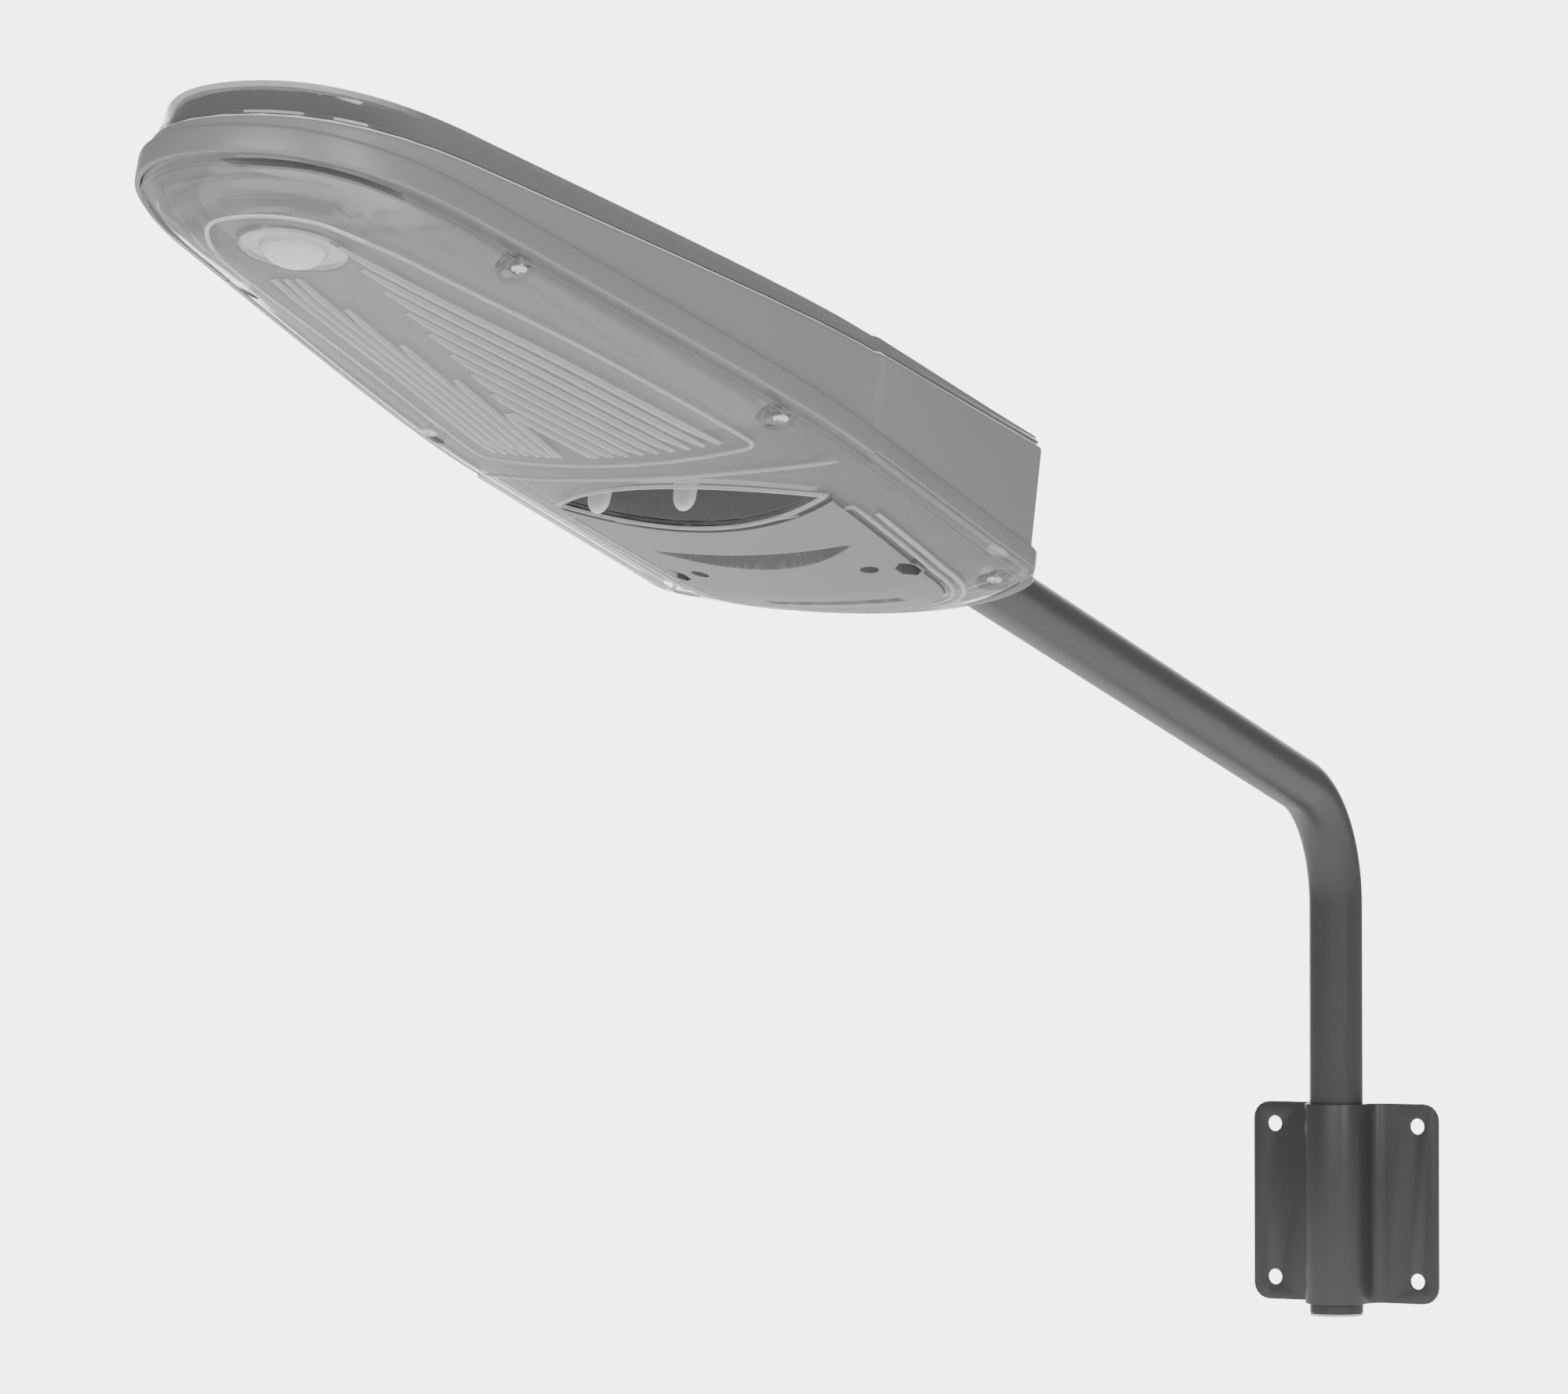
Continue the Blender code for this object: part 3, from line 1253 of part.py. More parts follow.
def control_board(head):
    """Charge controller board with a few of its larger components on top."""
    reach = CONTROL_BOARD_HALF_WIDTH
    front = CONTROL_BOARD_REAR - CONTROL_BOARD_LENGTH
    top = CONTROL_BOARD_HEIGHT + BOARD_THICKNESS
    sheet = box((-reach, front, CONTROL_BOARD_HEIGHT), (reach, CONTROL_BOARD_REAR, top))
    board = add_object("control_board", sheet, head, BOARD_GREEN)
    parts = bmesh.new()
    add_box(parts, (-0.034, front + 0.009, top - 0.0005), (-0.024, front + 0.021, top + 0.006))
    add_box(parts, (0.004, front + 0.024, top - 0.0005), (0.018, front + 0.038, top + 0.003))
    add_cylinder(parts, 0.004, top - 0.0005, top + 0.0075, (-0.010, front + 0.012), 12)
    add_cylinder(parts, 0.004, top - 0.0005, top + 0.0075, (-0.010, front + 0.032), 12)
    cut(board, "control_parts", parts, head, "UNION")
    return board


def clamp_outline(radius, thickness, side):
    """Section across the tube: a half round with an ear each side, on the side given."""
    outer = radius + thickness
    ear = outer + CLAMP_EAR
    low = side * CLAMP_PARTING
    high = side * thickness
    foot = math.asin(thickness / outer)
    inner_arc = arc((0.0, 0.0), radius, 0.0, side * math.pi, 10)
    outer_arc = arc((0.0, 0.0), outer, side * (math.pi - foot), side * foot, 10)
    inside = [(ear, low), (radius, low)] + inner_arc[1:-1] + [(-radius, low), (-ear, low)]
    return inside + [(-ear, high)] + outer_arc + [(ear, high)]


def tube_clamp(arm_axis):
    """Two clamp halves round the tube and the screws that draw them together."""
    bore = TUBE_RADIUS + TUBE_CLEARANCE
    middle = CLAMP_MIDDLE
    upright = Matrix.Translation((0.0, 0.0, middle))
    for name, side in (("clamp_upper", 1), ("clamp_lower", -1)):
        section = clamp_outline(bore, CLAMP_THICKNESS, side)
        half = add_object(
            name, moved(prism(section, -CLAMP_LENGTH / 2, CLAMP_LENGTH / 2), upright), arm_axis, ZINC
        )
        holes = bmesh.new()
        for x in (-CLAMP_SCREW_X, CLAMP_SCREW_X):
            turn = Matrix.Translation((x, 0.0, middle)) @ Matrix.Rotation(math.pi / 2, 4, "X")
            merge(holes, moved(cylinder(CLAMP_SCREW_RADIUS + SCREW_CLEARANCE, -0.01, 0.01, sides=12), turn))
        cut(half, name + "_holes", holes, arm_axis)
    for number, x in enumerate((-CLAMP_SCREW_X, CLAMP_SCREW_X), start=1):
        sizes = (0.0045, 0.003, CLAMP_SCREW_RADIUS, CLAMP_SCREW_LENGTH)
        body = screw("clamp_screw_%d" % number, arm_axis, (x, -CLAMP_THICKNESS - GAP, middle), sizes)
        body.rotation_euler = (-math.pi / 2, 0.0, 0.0)
        bpy.data.objects["clamp_screw_%d_recess" % number].rotation_euler = (-math.pi / 2, 0.0, 0.0)


def tube_grommet(arm_axis):
    """Rubber bush in the rear wall, with a collar outside."""
    bore = TUBE_RADIUS + TUBE_CLEARANCE
    hole = TUBE_RADIUS + TUBE_HOLE_CLEARANCE - 2 * GAP
    outside = REAR_LEDGE - 2 * GAP
    profile = [
        (bore, outside + 0.012), (hole, outside + 0.012), (hole, outside), (hole + 0.003, outside),
        (hole + 0.003, outside - 0.003), (bore + 0.001, outside - 0.004), (bore, outside - 0.004),
    ]
    return add_object("tube_grommet", turned(profile, 24), arm_axis, RUBBER_BLACK)


def lead(name, head, points, look):
    """Insulated lead: a thin tube on a curve through its points."""
    curve = bpy.data.curves.new(name, "CURVE")
    curve.dimensions = "3D"
    curve.bevel_depth = LEAD_RADIUS
    curve.bevel_resolution = 1
    curve.use_fill_caps = True
    line = curve.splines.new("POLY")
    line.points.add(len(points) - 1)
    for place, point in zip(line.points, points):
        place.co = (*point, 1.0)
    curve.materials.append(material(name, *look))
    obj = bpy.data.objects.new(name, curve)
    bpy.context.scene.collection.objects.link(obj)
    obj.parent = head
    return obj


def eased(points, steps=4):
    """A smooth curve through the route's points."""
    padded = [points[0]] + list(points) + [points[-1]]
    result = []
    for p0, p1, p2, p3 in zip(padded, padded[1:], padded[2:], padded[3:]):
        a, b, c, d = (Vector(p) for p in (p0, p1, p2, p3))
        for i in range(steps):
            t = i / steps
            result.append(
                0.5 * (2 * b + (c - a) * t + (2 * a - 5 * b + 4 * c - d) * t * t + (3 * b - a - 3 * c + d) * t**3)
            )
    result.append(Vector(points[-1]))
    return result


def leads(head):
    board_top = CONTROL_BOARD_HEIGHT + BOARD_THICKNESS + LEAD_RADIUS + GAP
    board_front = CONTROL_BOARD_REAR - CONTROL_BOARD_LENGTH
    over_cup = EYE_CUP_TOP + 0.014
    over_tray = TRAY_TOP + LEAD_RADIUS + 0.002
    light_route = [
        (0.035, LIGHT_REAR + 0.008, REFLECTOR_HEIGHT),
        (0.035, LIGHT_REAR + 0.018, over_cup),
        (0.035, TRAY_FRONT, over_tray),
        (0.035, TRAY_REAR, over_tray),
        (0.036, board_front - 0.006, board_top + 0.006),
        (0.036, board_front + 0.010, board_top),
    ]
    battery_route = [
        (-0.030, TRAY_REAR + GAP + LEAD_RADIUS, CELL_AXIS_HEIGHT + 0.004),
        (-0.030, TRAY_REAR + 0.010, CELL_AXIS_HEIGHT + 0.007),
        (-0.036, board_front + 0.002, board_top + 0.0005),
        (-0.038, board_front + 0.010, board_top),
    ]
    panel_y = board_front + 0.020
    panel_route = [
        (-0.036, panel_y, deck(panel_y) - SHELL - GAP - 0.001),
        (-0.037, panel_y + 0.002, 0.040),
        (-0.036, panel_y + 0.004, 0.020),
        (-0.036, panel_y + 0.010, board_top),
    ]
    lead("light_lead", head, eased(light_route), LEAD_RED)
    lead("battery_lead", head, eased(battery_route), LEAD_RED)
    lead("panel_lead", head, eased(panel_route), LEAD_BLACK)


# ---------------------------------------------------------------- assembly


def build():
    clear_scene()
    bracket_plate()
    arm_tube()
    tube_plug()

    along = Vector((0.0, -math.cos(ARM_TILT), math.sin(ARM_TILT)))
    up = Vector((0.0, math.sin(ARM_TILT), math.cos(ARM_TILT)))
    corner = Vector((0.0, TUBE_AXIS_Y, ARM_CORNER_HEIGHT))
    roll_point = corner + along * ARM_RUN
    roll_frame = frame("roll_frame", None, roll_point, -ARM_TILT)
    arm_axis = frame("arm_axis", roll_frame, (0.0, 0.0, 0.0), math.pi / 2)
    drop_y = -TUBE_AXIS_HEIGHT * math.sin(TILT_DIFFERENCE)
    drop_z = -TUBE_AXIS_HEIGHT * math.cos(TILT_DIFFERENCE)
    head = frame("head_frame", roll_frame, (0.0, drop_y, drop_z), -TILT_DIFFERENCE)

    housing(head, arm_axis)
    top_cover_seal(head)
    panel_frame(head)
    solar_panel(head)
    top_cover(head)

    lens_seal(head)
    lens_cover(head)
    lens_screws(head)
    reflector(head)
    led_board("led_board_left", head, -1)
    led_board("led_board_right", head, 1)
    motion_sensor(head)

    eye_cup(head)
    switch_board(head)
    for number, x in enumerate(LEVER_X, start=1):
        switch_lever("switch_lever_%d" % number, head, x)

    battery_cover(head)
    cover_seal(head)
    cover_screws(head)
    battery_tray(head)
    batteries(head)

    control_board(head)
    tube_clamp(arm_axis)
    tube_grommet(arm_axis)
    leads(head)
    bpy.context.view_layer.update()


build()
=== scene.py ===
# %% [markdown]
# # A solar street lamp, finished over its working model
# The working model already has every piece at its real size, and it moves. This lesson keeps that model as a
# fixed frame, and puts finely shaped shells and real finishes around it. Everything is in metres.

import json
import math

import bmesh
import bpy
from mathutils import Matrix, Vector
from mathutils.kdtree import KDTree


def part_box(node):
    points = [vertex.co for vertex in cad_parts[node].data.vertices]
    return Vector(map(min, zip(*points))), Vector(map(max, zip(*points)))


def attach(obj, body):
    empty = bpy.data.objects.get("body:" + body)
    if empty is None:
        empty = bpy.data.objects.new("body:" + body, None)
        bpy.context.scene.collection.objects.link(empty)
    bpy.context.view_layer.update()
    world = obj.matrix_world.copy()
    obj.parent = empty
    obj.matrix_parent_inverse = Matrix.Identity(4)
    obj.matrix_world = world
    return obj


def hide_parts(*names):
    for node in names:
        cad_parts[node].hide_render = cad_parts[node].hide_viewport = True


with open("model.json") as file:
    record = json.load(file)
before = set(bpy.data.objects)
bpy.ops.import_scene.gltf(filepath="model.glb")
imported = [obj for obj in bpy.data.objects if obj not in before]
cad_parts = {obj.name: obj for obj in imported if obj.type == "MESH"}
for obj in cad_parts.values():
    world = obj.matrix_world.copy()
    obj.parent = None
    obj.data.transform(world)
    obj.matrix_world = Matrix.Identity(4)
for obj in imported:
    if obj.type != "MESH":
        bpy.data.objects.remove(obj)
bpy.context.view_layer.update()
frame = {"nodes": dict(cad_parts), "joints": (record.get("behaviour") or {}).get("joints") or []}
nodes = frame["nodes"]
joints = {joint["name"]: joint for joint in frame["joints"]}
print("frame nodes:", len(nodes), "joints:", sorted(joints))

# %% [markdown]
# ## The camera
# The lamp hangs on a wall and is seen from a few metres away, a little from its right and from below the head.
# A long lens keeps the arm and the head in their true proportions. The camera is placed by its distance from the
# middle of the bracket, which is also the origin of the whole model.

# %% Camera
CAMERA_PLACE = (1.39345, -3.29568, 0.21268)
CAMERA_TURN = math.radians(28.378)
CAMERA_RISE = math.radians(1.490)
LENS_LENGTH = 135.0

camera_data = bpy.data.cameras.new("camera")
camera_data.lens = LENS_LENGTH
camera = bpy.data.objects.new("camera", camera_data)
camera.location = CAMERA_PLACE
camera.rotation_euler = (math.pi / 2 + CAMERA_RISE, 0.0, CAMERA_TURN)
bpy.context.scene.collection.objects.link(camera)
bpy.context.scene.camera = camera
print("camera distance: %.2f m" % camera.location.length)

# %% [markdown]
# ## The room
# Smooth plastic and paint show their shape by what they reflect, so the light matters as much as the finish.
# Big soft panels give long, calm highlights. The floor is pale and lies well below, so that it also lights the
# underside of the head, which is the side that people see in the street.

# %% Floor and light
FLOOR_HEIGHT = -1.6
FLOOR_SIZE = 24.0
FLOOR_GLOW = 0.9
WALL_GLOW = 5.0
ROOM_GLOW = 0.30
AIM_POINT = Vector((0.0, -1.2, 0.5))


def soft_light(name, azimuth, distance, height, size, glow):
    """A panel of light aimed at the head's tip, where azimuth 0 is straight in front."""
    data = bpy.data.lights.new(name, "AREA")
    data.shape = "RECTANGLE"
    data.size, data.size_y = size
    data.energy = glow * math.pi * size[0] * size[1]
    turn = math.radians(azimuth)
    place = AIM_POINT + Vector((math.sin(turn) * distance, -math.cos(turn) * distance, height))
    lamp = bpy.data.objects.new(name, data)
    lamp.location = place
    lamp.rotation_euler = (AIM_POINT - place).to_track_quat("-Z", "Y").to_euler()
    lamp.visible_camera = False
    bpy.context.scene.collection.objects.link(lamp)
    return lamp


bpy.ops.object.select_all(action="DESELECT")
bpy.ops.mesh.primitive_plane_add(size=FLOOR_SIZE, location=(0.0, 0.0, FLOOR_HEIGHT))
floor = bpy.context.object
floor.name = "floor"
floor_paint = bpy.data.materials.new("floor_paint")
floor_paint.use_nodes = True
floor_shader = floor_paint.node_tree.nodes["Principled BSDF"]
floor_shader.inputs["Base Color"].default_value = (0.93, 0.93, 0.93, 1.0)
floor_shader.inputs["Roughness"].default_value = 0.9
floor_shader.inputs["Emission Color"].default_value = (1.0, 1.0, 1.0, 1.0)
floor_shader.inputs["Emission Strength"].default_value = FLOOR_GLOW
floor.data.materials.append(floor_paint)


def studio_world():
    """A room that is dim in front and bright behind the lamp, with a soft change between."""
    world = bpy.data.worlds.new("studio")
    world.use_nodes = True
    tree = world.node_tree
    where = tree.nodes.new("ShaderNodeTexCoord")
    facing = tree.nodes.new("ShaderNodeVectorMath")
    facing.operation = "DOT_PRODUCT"
    facing.inputs[1].default_value = (-math.sin(CAMERA_TURN), math.cos(CAMERA_TURN), 0.0)
    spread = tree.nodes.new("ShaderNodeMapRange")
    spread.interpolation_type = "SMOOTHSTEP"
    spread.inputs["From Min"].default_value = 0.87
    spread.inputs["From Max"].default_value = 0.975
    spread.inputs["To Min"].default_value = ROOM_GLOW
    spread.inputs["To Max"].default_value = WALL_GLOW
    tree.links.new(where.outputs["Generated"], facing.inputs[0])
    tree.links.new(facing.outputs["Value"], spread.inputs["Value"])
    tree.links.new(spread.outputs["Result"], tree.nodes["Background"].inputs["Strength"])
    tree.nodes["Background"].inputs["Color"].default_value = (1.0, 1.0, 1.0, 1.0)
    return world


bpy.context.scene.world = studio_world()
soft_light("front_panel", 8.0, 2.4, 1.25, (2.5, 1.3), 4.2)
soft_light("side_panel", 77.0, 2.4, 1.0, (1.0, 1.5), 5.0)

# %% [markdown]
# ## Two places to work from
# The head is a wedge that points up at an angle, which is awkward to model in. So each head piece is drawn in
# the head's own frame: its rear edge at Y = 0, its tip at minus its length, and Z = 0 at the foot of the rim.
# The frame's joints tell where that is: the battery cover comes off straight down, and the head rolls on
# the arm.

# %% Head frame and arm line
TUBE_AXIS_HEIGHT = 0.0444
TUBE_RADIUS = 0.016
TUBE_WALL = 0.002
ARM_RUN = 0.592
ARM_BEND_RADIUS = 0.075
TUBE_INSERTION = 0.105

head_up = -Vector(joints["battery_cover_lift"]["axis"])
arm_along = Vector(joints["head_roll"]["axis"])
over_rear_edge = Vector(joints["head_roll"]["pos_m"])
head_tilt = math.atan2(head_up.y, head_up.z)
head_origin = over_rear_edge - head_up * TUBE_AXIS_HEIGHT
head_frame = Matrix.Translation(head_origin) @ Matrix.Rotation(-head_tilt, 4, "X")
arm_corner = over_rear_edge - arm_along * ARM_RUN
arm_tilt = math.atan2(arm_along.z, -arm_along.y)
print("head tilt: %.1f, arm tilt: %.1f degrees" % (math.degrees(head_tilt), math.degrees(arm_tilt)))

# %% [markdown]
# ## Modelling helpers
# Most shells here are lofts: a loop is drawn, extruded to the next loop, and so on, as a modeller would with the
# extrude key. Holes and pockets are carved with the Boolean modifier. Each finished piece is applied, so that it
# sits at the origin with its place in its own mesh, as the frame's pieces do.

# %% Helpers for meshes


def choose(*pieces):
    """Selects only these pieces, the first of them active."""
    bpy.ops.object.select_all(action="DESELECT")
    for piece in pieces:
        piece.select_set(True)
    bpy.context.view_layer.objects.active = pieces[0]


def move_loop(piece, before, after):
    """Takes the selected loop from one set of points to the next."""
    tree = KDTree(len(before))
    for i, point in enumerate(before):
        tree.insert(point, i)
    tree.balance()
    mesh = bmesh.from_edit_mesh(piece.data)
    for vert in mesh.verts:
        if vert.select:
            vert.co = after[tree.find(vert.co)[1]]
    bmesh.update_edit_mesh(piece.data)


def loft(name, loops, joined=False, angle=35):
    """Extrudes a circle from loop to loop; the ends are closed, or joined to each other."""
    bpy.ops.object.select_all(action="DESELECT")
    bpy.ops.mesh.primitive_circle_add(
        vertices=len(loops[0]), radius=1.0, fill_type="NOTHING" if joined else "NGON", location=(0, 0, 0)
    )
    piece = bpy.context.object
    piece.name = name
    circle = [tuple(vert.co) for vert in piece.data.vertices]
    bpy.ops.object.mode_set(mode="EDIT")
    bpy.ops.mesh.select_all(action="SELECT")
    move_loop(piece, circle, loops[0])
    before = loops[0]
    for after in loops[1:] + ([loops[0]] if joined else []):
        bpy.ops.mesh.extrude_region()
        move_loop(piece, before, after)
        before = after
    bpy.ops.mesh.select_all(action="SELECT")
    bpy.ops.mesh.remove_doubles(threshold=1e-6)
    bpy.ops.mesh.normals_make_consistent(inside=False)
    bpy.ops.object.mode_set(mode="OBJECT")
    bpy.ops.object.shade_smooth_by_angle(angle=math.radians(angle))
    return piece


def prism(name, outline, low, high):
    """A straight block with a drawn outline."""
    return loft(name, [[(x, y, low) for x, y in outline], [(x, y, high) for x, y in outline]])


def rod(name, radius, low, high, centre=(0.0, 0.0), sides=40):
    """A round block that stands on the head's plane."""
    bpy.ops.object.select_all(action="DESELECT")
    bpy.ops.mesh.primitive_cylinder_add(
        vertices=sides, radius=radius, depth=high - low, location=(centre[0], centre[1], (low + high) / 2)
    )
    piece = bpy.context.object
    piece.name = name
    bpy.ops.object.transform_apply(location=True, rotation=True, scale=True)
    return piece


def spun(name, profile, sides=48, angle=35):
    """Spins a profile of (radius, height) about Z with the spin tool."""
    bpy.ops.object.select_all(action="DESELECT")
    bpy.ops.mesh.primitive_circle_add(vertices=len(profile), radius=1.0, fill_type="NOTHING", location=(0, 0, 0))
    piece = bpy.context.object
    piece.name = name
    circle = [tuple(vert.co) for vert in piece.data.vertices]
    bpy.ops.object.mode_set(mode="EDIT")
    bpy.ops.mesh.select_all(action="SELECT")
    move_loop(piece, circle, [(radius, 0.0, height) for radius, height in profile])
    bpy.ops.mesh.spin(steps=sides, angle=2 * math.pi, center=(0, 0, 0), axis=(0, 0, 1))
    bpy.ops.mesh.select_all(action="SELECT")
    bpy.ops.mesh.remove_doubles(threshold=1e-6)
    bpy.ops.mesh.dissolve_degenerate(threshold=1e-6)
    bpy.ops.mesh.select_all(action="SELECT")
    bpy.ops.mesh.normals_make_consistent(inside=False)
    bpy.ops.object.mode_set(mode="OBJECT")
    bpy.ops.object.shade_smooth_by_angle(angle=math.radians(angle))
    return piece


def carve(piece, cutter, operation="DIFFERENCE"):
    """Cuts one piece with another, which is used up."""
    modifier = piece.modifiers.new("carve", "BOOLEAN")
    modifier.operation = operation
    modifier.solver = "EXACT"
    modifier.object = cutter
    choose(piece)
    bpy.ops.object.modifier_apply(modifier="carve")
    bpy.data.objects.remove(cutter, do_unlink=True)
    return piece


def soften(piece, width, angle=40, segments=2):
    """Rounds the sharp edges a little, so that they catch the light."""
    modifier = piece.modifiers.new("soft_edges", "BEVEL")
    modifier.width = width
    modifier.segments = segments
    modifier.limit_method = "ANGLE"
    modifier.angle_limit = math.radians(angle)
    modifier.harden_normals = False
    choose(piece)
    bpy.ops.object.modifier_apply(modifier="soft_edges")
    bpy.ops.object.shade_smooth_by_angle(angle=math.radians(35))
    return piece


def placed(piece, matrix):
    """Takes a piece from its own frame into the model's, and applies its place."""
    piece.matrix_world = matrix
    choose(piece)
    bpy.ops.object.transform_apply(location=True, rotation=True, scale=True)
    return piece


def joined(name, pieces):
    """Joins pieces into one object with one name."""
    choose(*pieces)
    bpy.ops.object.join()
    pieces[0].name = name
    return pieces[0]


def copied(piece, name):
    """A copy with its own mesh."""
    twin = piece.copy()
    twin.data = piece.data.copy()
    twin.name = name
    bpy.context.scene.collection.objects.link(twin)
    return twin


def stands_for(piece, body, slot, finish, *cad_nodes):
    """Gives a piece its finish, the body that it moves with, and the frame pieces that it stands for."""
    piece.data.materials.clear()
    piece.data.materials.append(finish)
    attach(piece, body)
    if cad_nodes:
        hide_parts(*cad_nodes)
    print("%-24s %6d faces on %s" % (piece.name, len(piece.data.polygons), body))
    return piece


# %% [markdown]
# ## The head's outline
# Every shell of the head follows one leaf-shaped outline: a blunt nose, long flanks that widen towards the wall,
# rounded rear corners and a curved rear edge. Drawing it once from curves and arcs keeps the shells parallel. It
# is drawn much finer here than in the working model, because its edges are what the eye follows.

# %% Outline
HEAD_LENGTH = 0.650
NOSE_LENGTH = 0.0916
NOSE_HALF_WIDTH = 0.0783
NOSE_BLUNTNESS = 0.050
HEAD_HALF_WIDTH = 0.111
WIDEST_FROM_REAR = 0.255
REAR_HALF_WIDTH = 0.108
REAR_CURVE_RADIUS = 0.145
REAR_CORNER_RADIUS = 0.020
REAR_BLOCK_LENGTH = 0.235
JOG_STEP = 0.0015
FLANK_SLOPE = 0.15


def smooth_share(distance, reach):
    """0 at the start, 1 at the reach, and level at both ends."""
    share = min(max(distance / reach, 0.0), 1.0)
    return share * share * (3 - 2 * share)


def arc(centre, radius, start, end, steps):
    angles = [start + (end - start) * i / steps for i in range(steps + 1)]
    return [(centre[0] + radius * math.cos(a), centre[1] + radius * math.sin(a)) for a in angles]


def bezier(p0, h0, h1, p1, steps):
    """Points along a curve with two handles, the last point left out."""
    points = []
    for i in range(steps):
        t = i / steps
        k = ((1 - t) ** 3, 3 * t * (1 - t) ** 2, 3 * t * t * (1 - t), t**3)
        points.append(tuple(sum(k[j] * p[axis] for j, p in enumerate((p0, h0, h1, p1))) for axis in (0, 1)))
    return points


def both_sides(half):
    """Mirrors a right-hand half, from middle line to middle line, into a closed outline."""
    return half + [(-x, y) for x, y in reversed(half[1:-1])]


CORNER_X = REAR_HALF_WIDTH - REAR_CORNER_RADIUS
CORNER_Y = math.sqrt((REAR_CURVE_RADIUS - REAR_CORNER_RADIUS) ** 2 - CORNER_X**2) - REAR_CURVE_RADIUS
CORNER_TURN = math.atan2(CORNER_Y + REAR_CURVE_RADIUS, CORNER_X)


def head_half():
    """Right half of the outline, tip first."""
    tip = (0.0, -HEAD_LENGTH)
    nose_end = (NOSE_HALF_WIDTH, NOSE_LENGTH - HEAD_LENGTH)
    widest = (HEAD_HALF_WIDTH, -WIDEST_FROM_REAR)
    nose_handle = (nose_end[0] - FLANK_SLOPE * NOSE_BLUNTNESS, nose_end[1] - NOSE_BLUNTNESS)
    nose = bezier(tip, (NOSE_BLUNTNESS, tip[1]), nose_handle, nose_end, 26)
    reach = (widest[1] - nose_end[1]) / 3
    flank_start = (nose_end[0] + FLANK_SLOPE * reach * 0.85, nose_end[1] + reach)
    flank = bezier(nose_end, flank_start, (widest[0], widest[1] - reach * 0.6), widest, 20)
    stations = [-WIDEST_FROM_REAR]
    stations += [-REAR_BLOCK_LENGTH + JOG_STEP * k for k in (-2, -1, 0, 1, 2)]
    stations += [-0.8 * REAR_BLOCK_LENGTH, -0.6 * REAR_BLOCK_LENGTH, -0.4 * REAR_BLOCK_LENGTH]
    narrowing = REAR_HALF_WIDTH - HEAD_HALF_WIDTH
    rear_side = [
        (HEAD_HALF_WIDTH + narrowing * smooth_share(y + WIDEST_FROM_REAR, CORNER_Y + WIDEST_FROM_REAR), y)
        for y in stations
    ]
    corner = arc((CORNER_X, CORNER_Y), REAR_CORNER_RADIUS, 0.0, CORNER_TURN, 9)
    rear = arc((0.0, -REAR_CURVE_RADIUS), REAR_CURVE_RADIUS, CORNER_TURN, math.pi / 2, 14)[1:]
    return nose + flank + rear_side + corner + rear


def mitres(outline):
    """Outward corner directions of a closed outline, long enough to move its sides by one unit."""
    count = len(outline)
    sides = []
    for i in range(count):
        along = (Vector(outline[(i + 1) % count]) - Vector(outline[i])).normalized()
        sides.append(Vector((along.y, -along.x)))
    return [(sides[i - 1] + sides[i]) / (1 + sides[i - 1].dot(sides[i])) for i in range(count)]


def grown(outline, amount):
    return [(p[0] + m.x * amount, p[1] + m.y * amount) for p, m in zip(outline, mitres(outline))]


HALF = head_half()
OUTLINE = both_sides(HALF)
OUTLINE_MITRES = mitres(OUTLINE)


def half_width(y):
    for (x0, y0), (x1, y1) in zip(HALF, HALF[1:]):
        if y0 <= y <= y1:
            return x0 + (x1 - x0) * (y - y0) / max(y1 - y0, 1e-9)
    return 0.0


def in_block(y, margin=-JOG_STEP / 2):
    """Whether y is in the deeper rear block."""
    return y > -REAR_BLOCK_LENGTH + margin


def ring(inset, height, rear=None):
    """The outline drawn in by inset, or by rear where it faces backwards, at a height."""
    points = []
    for (x, y), mitre in zip(OUTLINE, OUTLINE_MITRES):
        side = inset(y) if callable(inset) else inset
        back = side if rear is None else rear
        new_y = y - mitre.y * (back if mitre.y > 0 else side)
        points.append((x - mitre.x * side, new_y, height(new_y) if callable(height) else height))
    return points


def leaf(inset, height_at):
    """The outline shrunk towards its middle, so that deep loops stay nested."""
    middle = -HEAD_LENGTH / 2
    across = 1 - inset / HEAD_HALF_WIDTH
    along = 1 - inset / (HEAD_LENGTH / 2)
    flat = [(x * across, middle + (y - middle) * along) for x, y in OUTLINE]
    return [(x, y, height_at(x, y)) for x, y in flat]


print("outline points:", len(OUTLINE))

# %% [markdown]
# ## Writing materials as sums
# A finish is worked out by a small network of nodes. Linking those by hand in code is hard to read, so a socket
# is wrapped in a class that understands plus, minus and times. Then a worn edge or a speckle is one line of
# arithmetic, and any other node comes from one method.

# %% Shader helpers


class Amount:
    """A value in a shader that can be added, subtracted and multiplied like a number."""

    def __init__(self, tree, socket):
        self.tree = tree
        self.socket = socket

    def combine(self, operation, first, second):
        node = self.tree.nodes.new("ShaderNodeMath")
        node.operation = operation
        for place, term in enumerate((first, second)):
            if isinstance(term, Amount):
                self.tree.links.new(term.socket, node.inputs[place])
            else:
                node.inputs[place].default_value = term
        return Amount(self.tree, node.outputs[0])

    def __add__(self, other):
        return self.combine("ADD", self, other)

    def __radd__(self, other):
        return self.combine("ADD", other, self)

    def __sub__(self, other):
        return self.combine("SUBTRACT", self, other)

    def __rsub__(self, other):
        return self.combine("SUBTRACT", other, self)

    def __mul__(self, other):
        return self.combine("MULTIPLY", self, other)

    def __rmul__(self, other):
        return self.combine("MULTIPLY", other, self)

    def above(self, level):
        return self.combine("GREATER_THAN", self, level)

    def below(self, level):
        return self.combine("LESS_THAN", self, level)

    def at_most(self, level):
        return self.combine("MINIMUM", self, level)

    def repeat(self, pitch):
        """Distance into the current step of a repeating pattern."""
        return self.combine("MODULO", self, pitch)


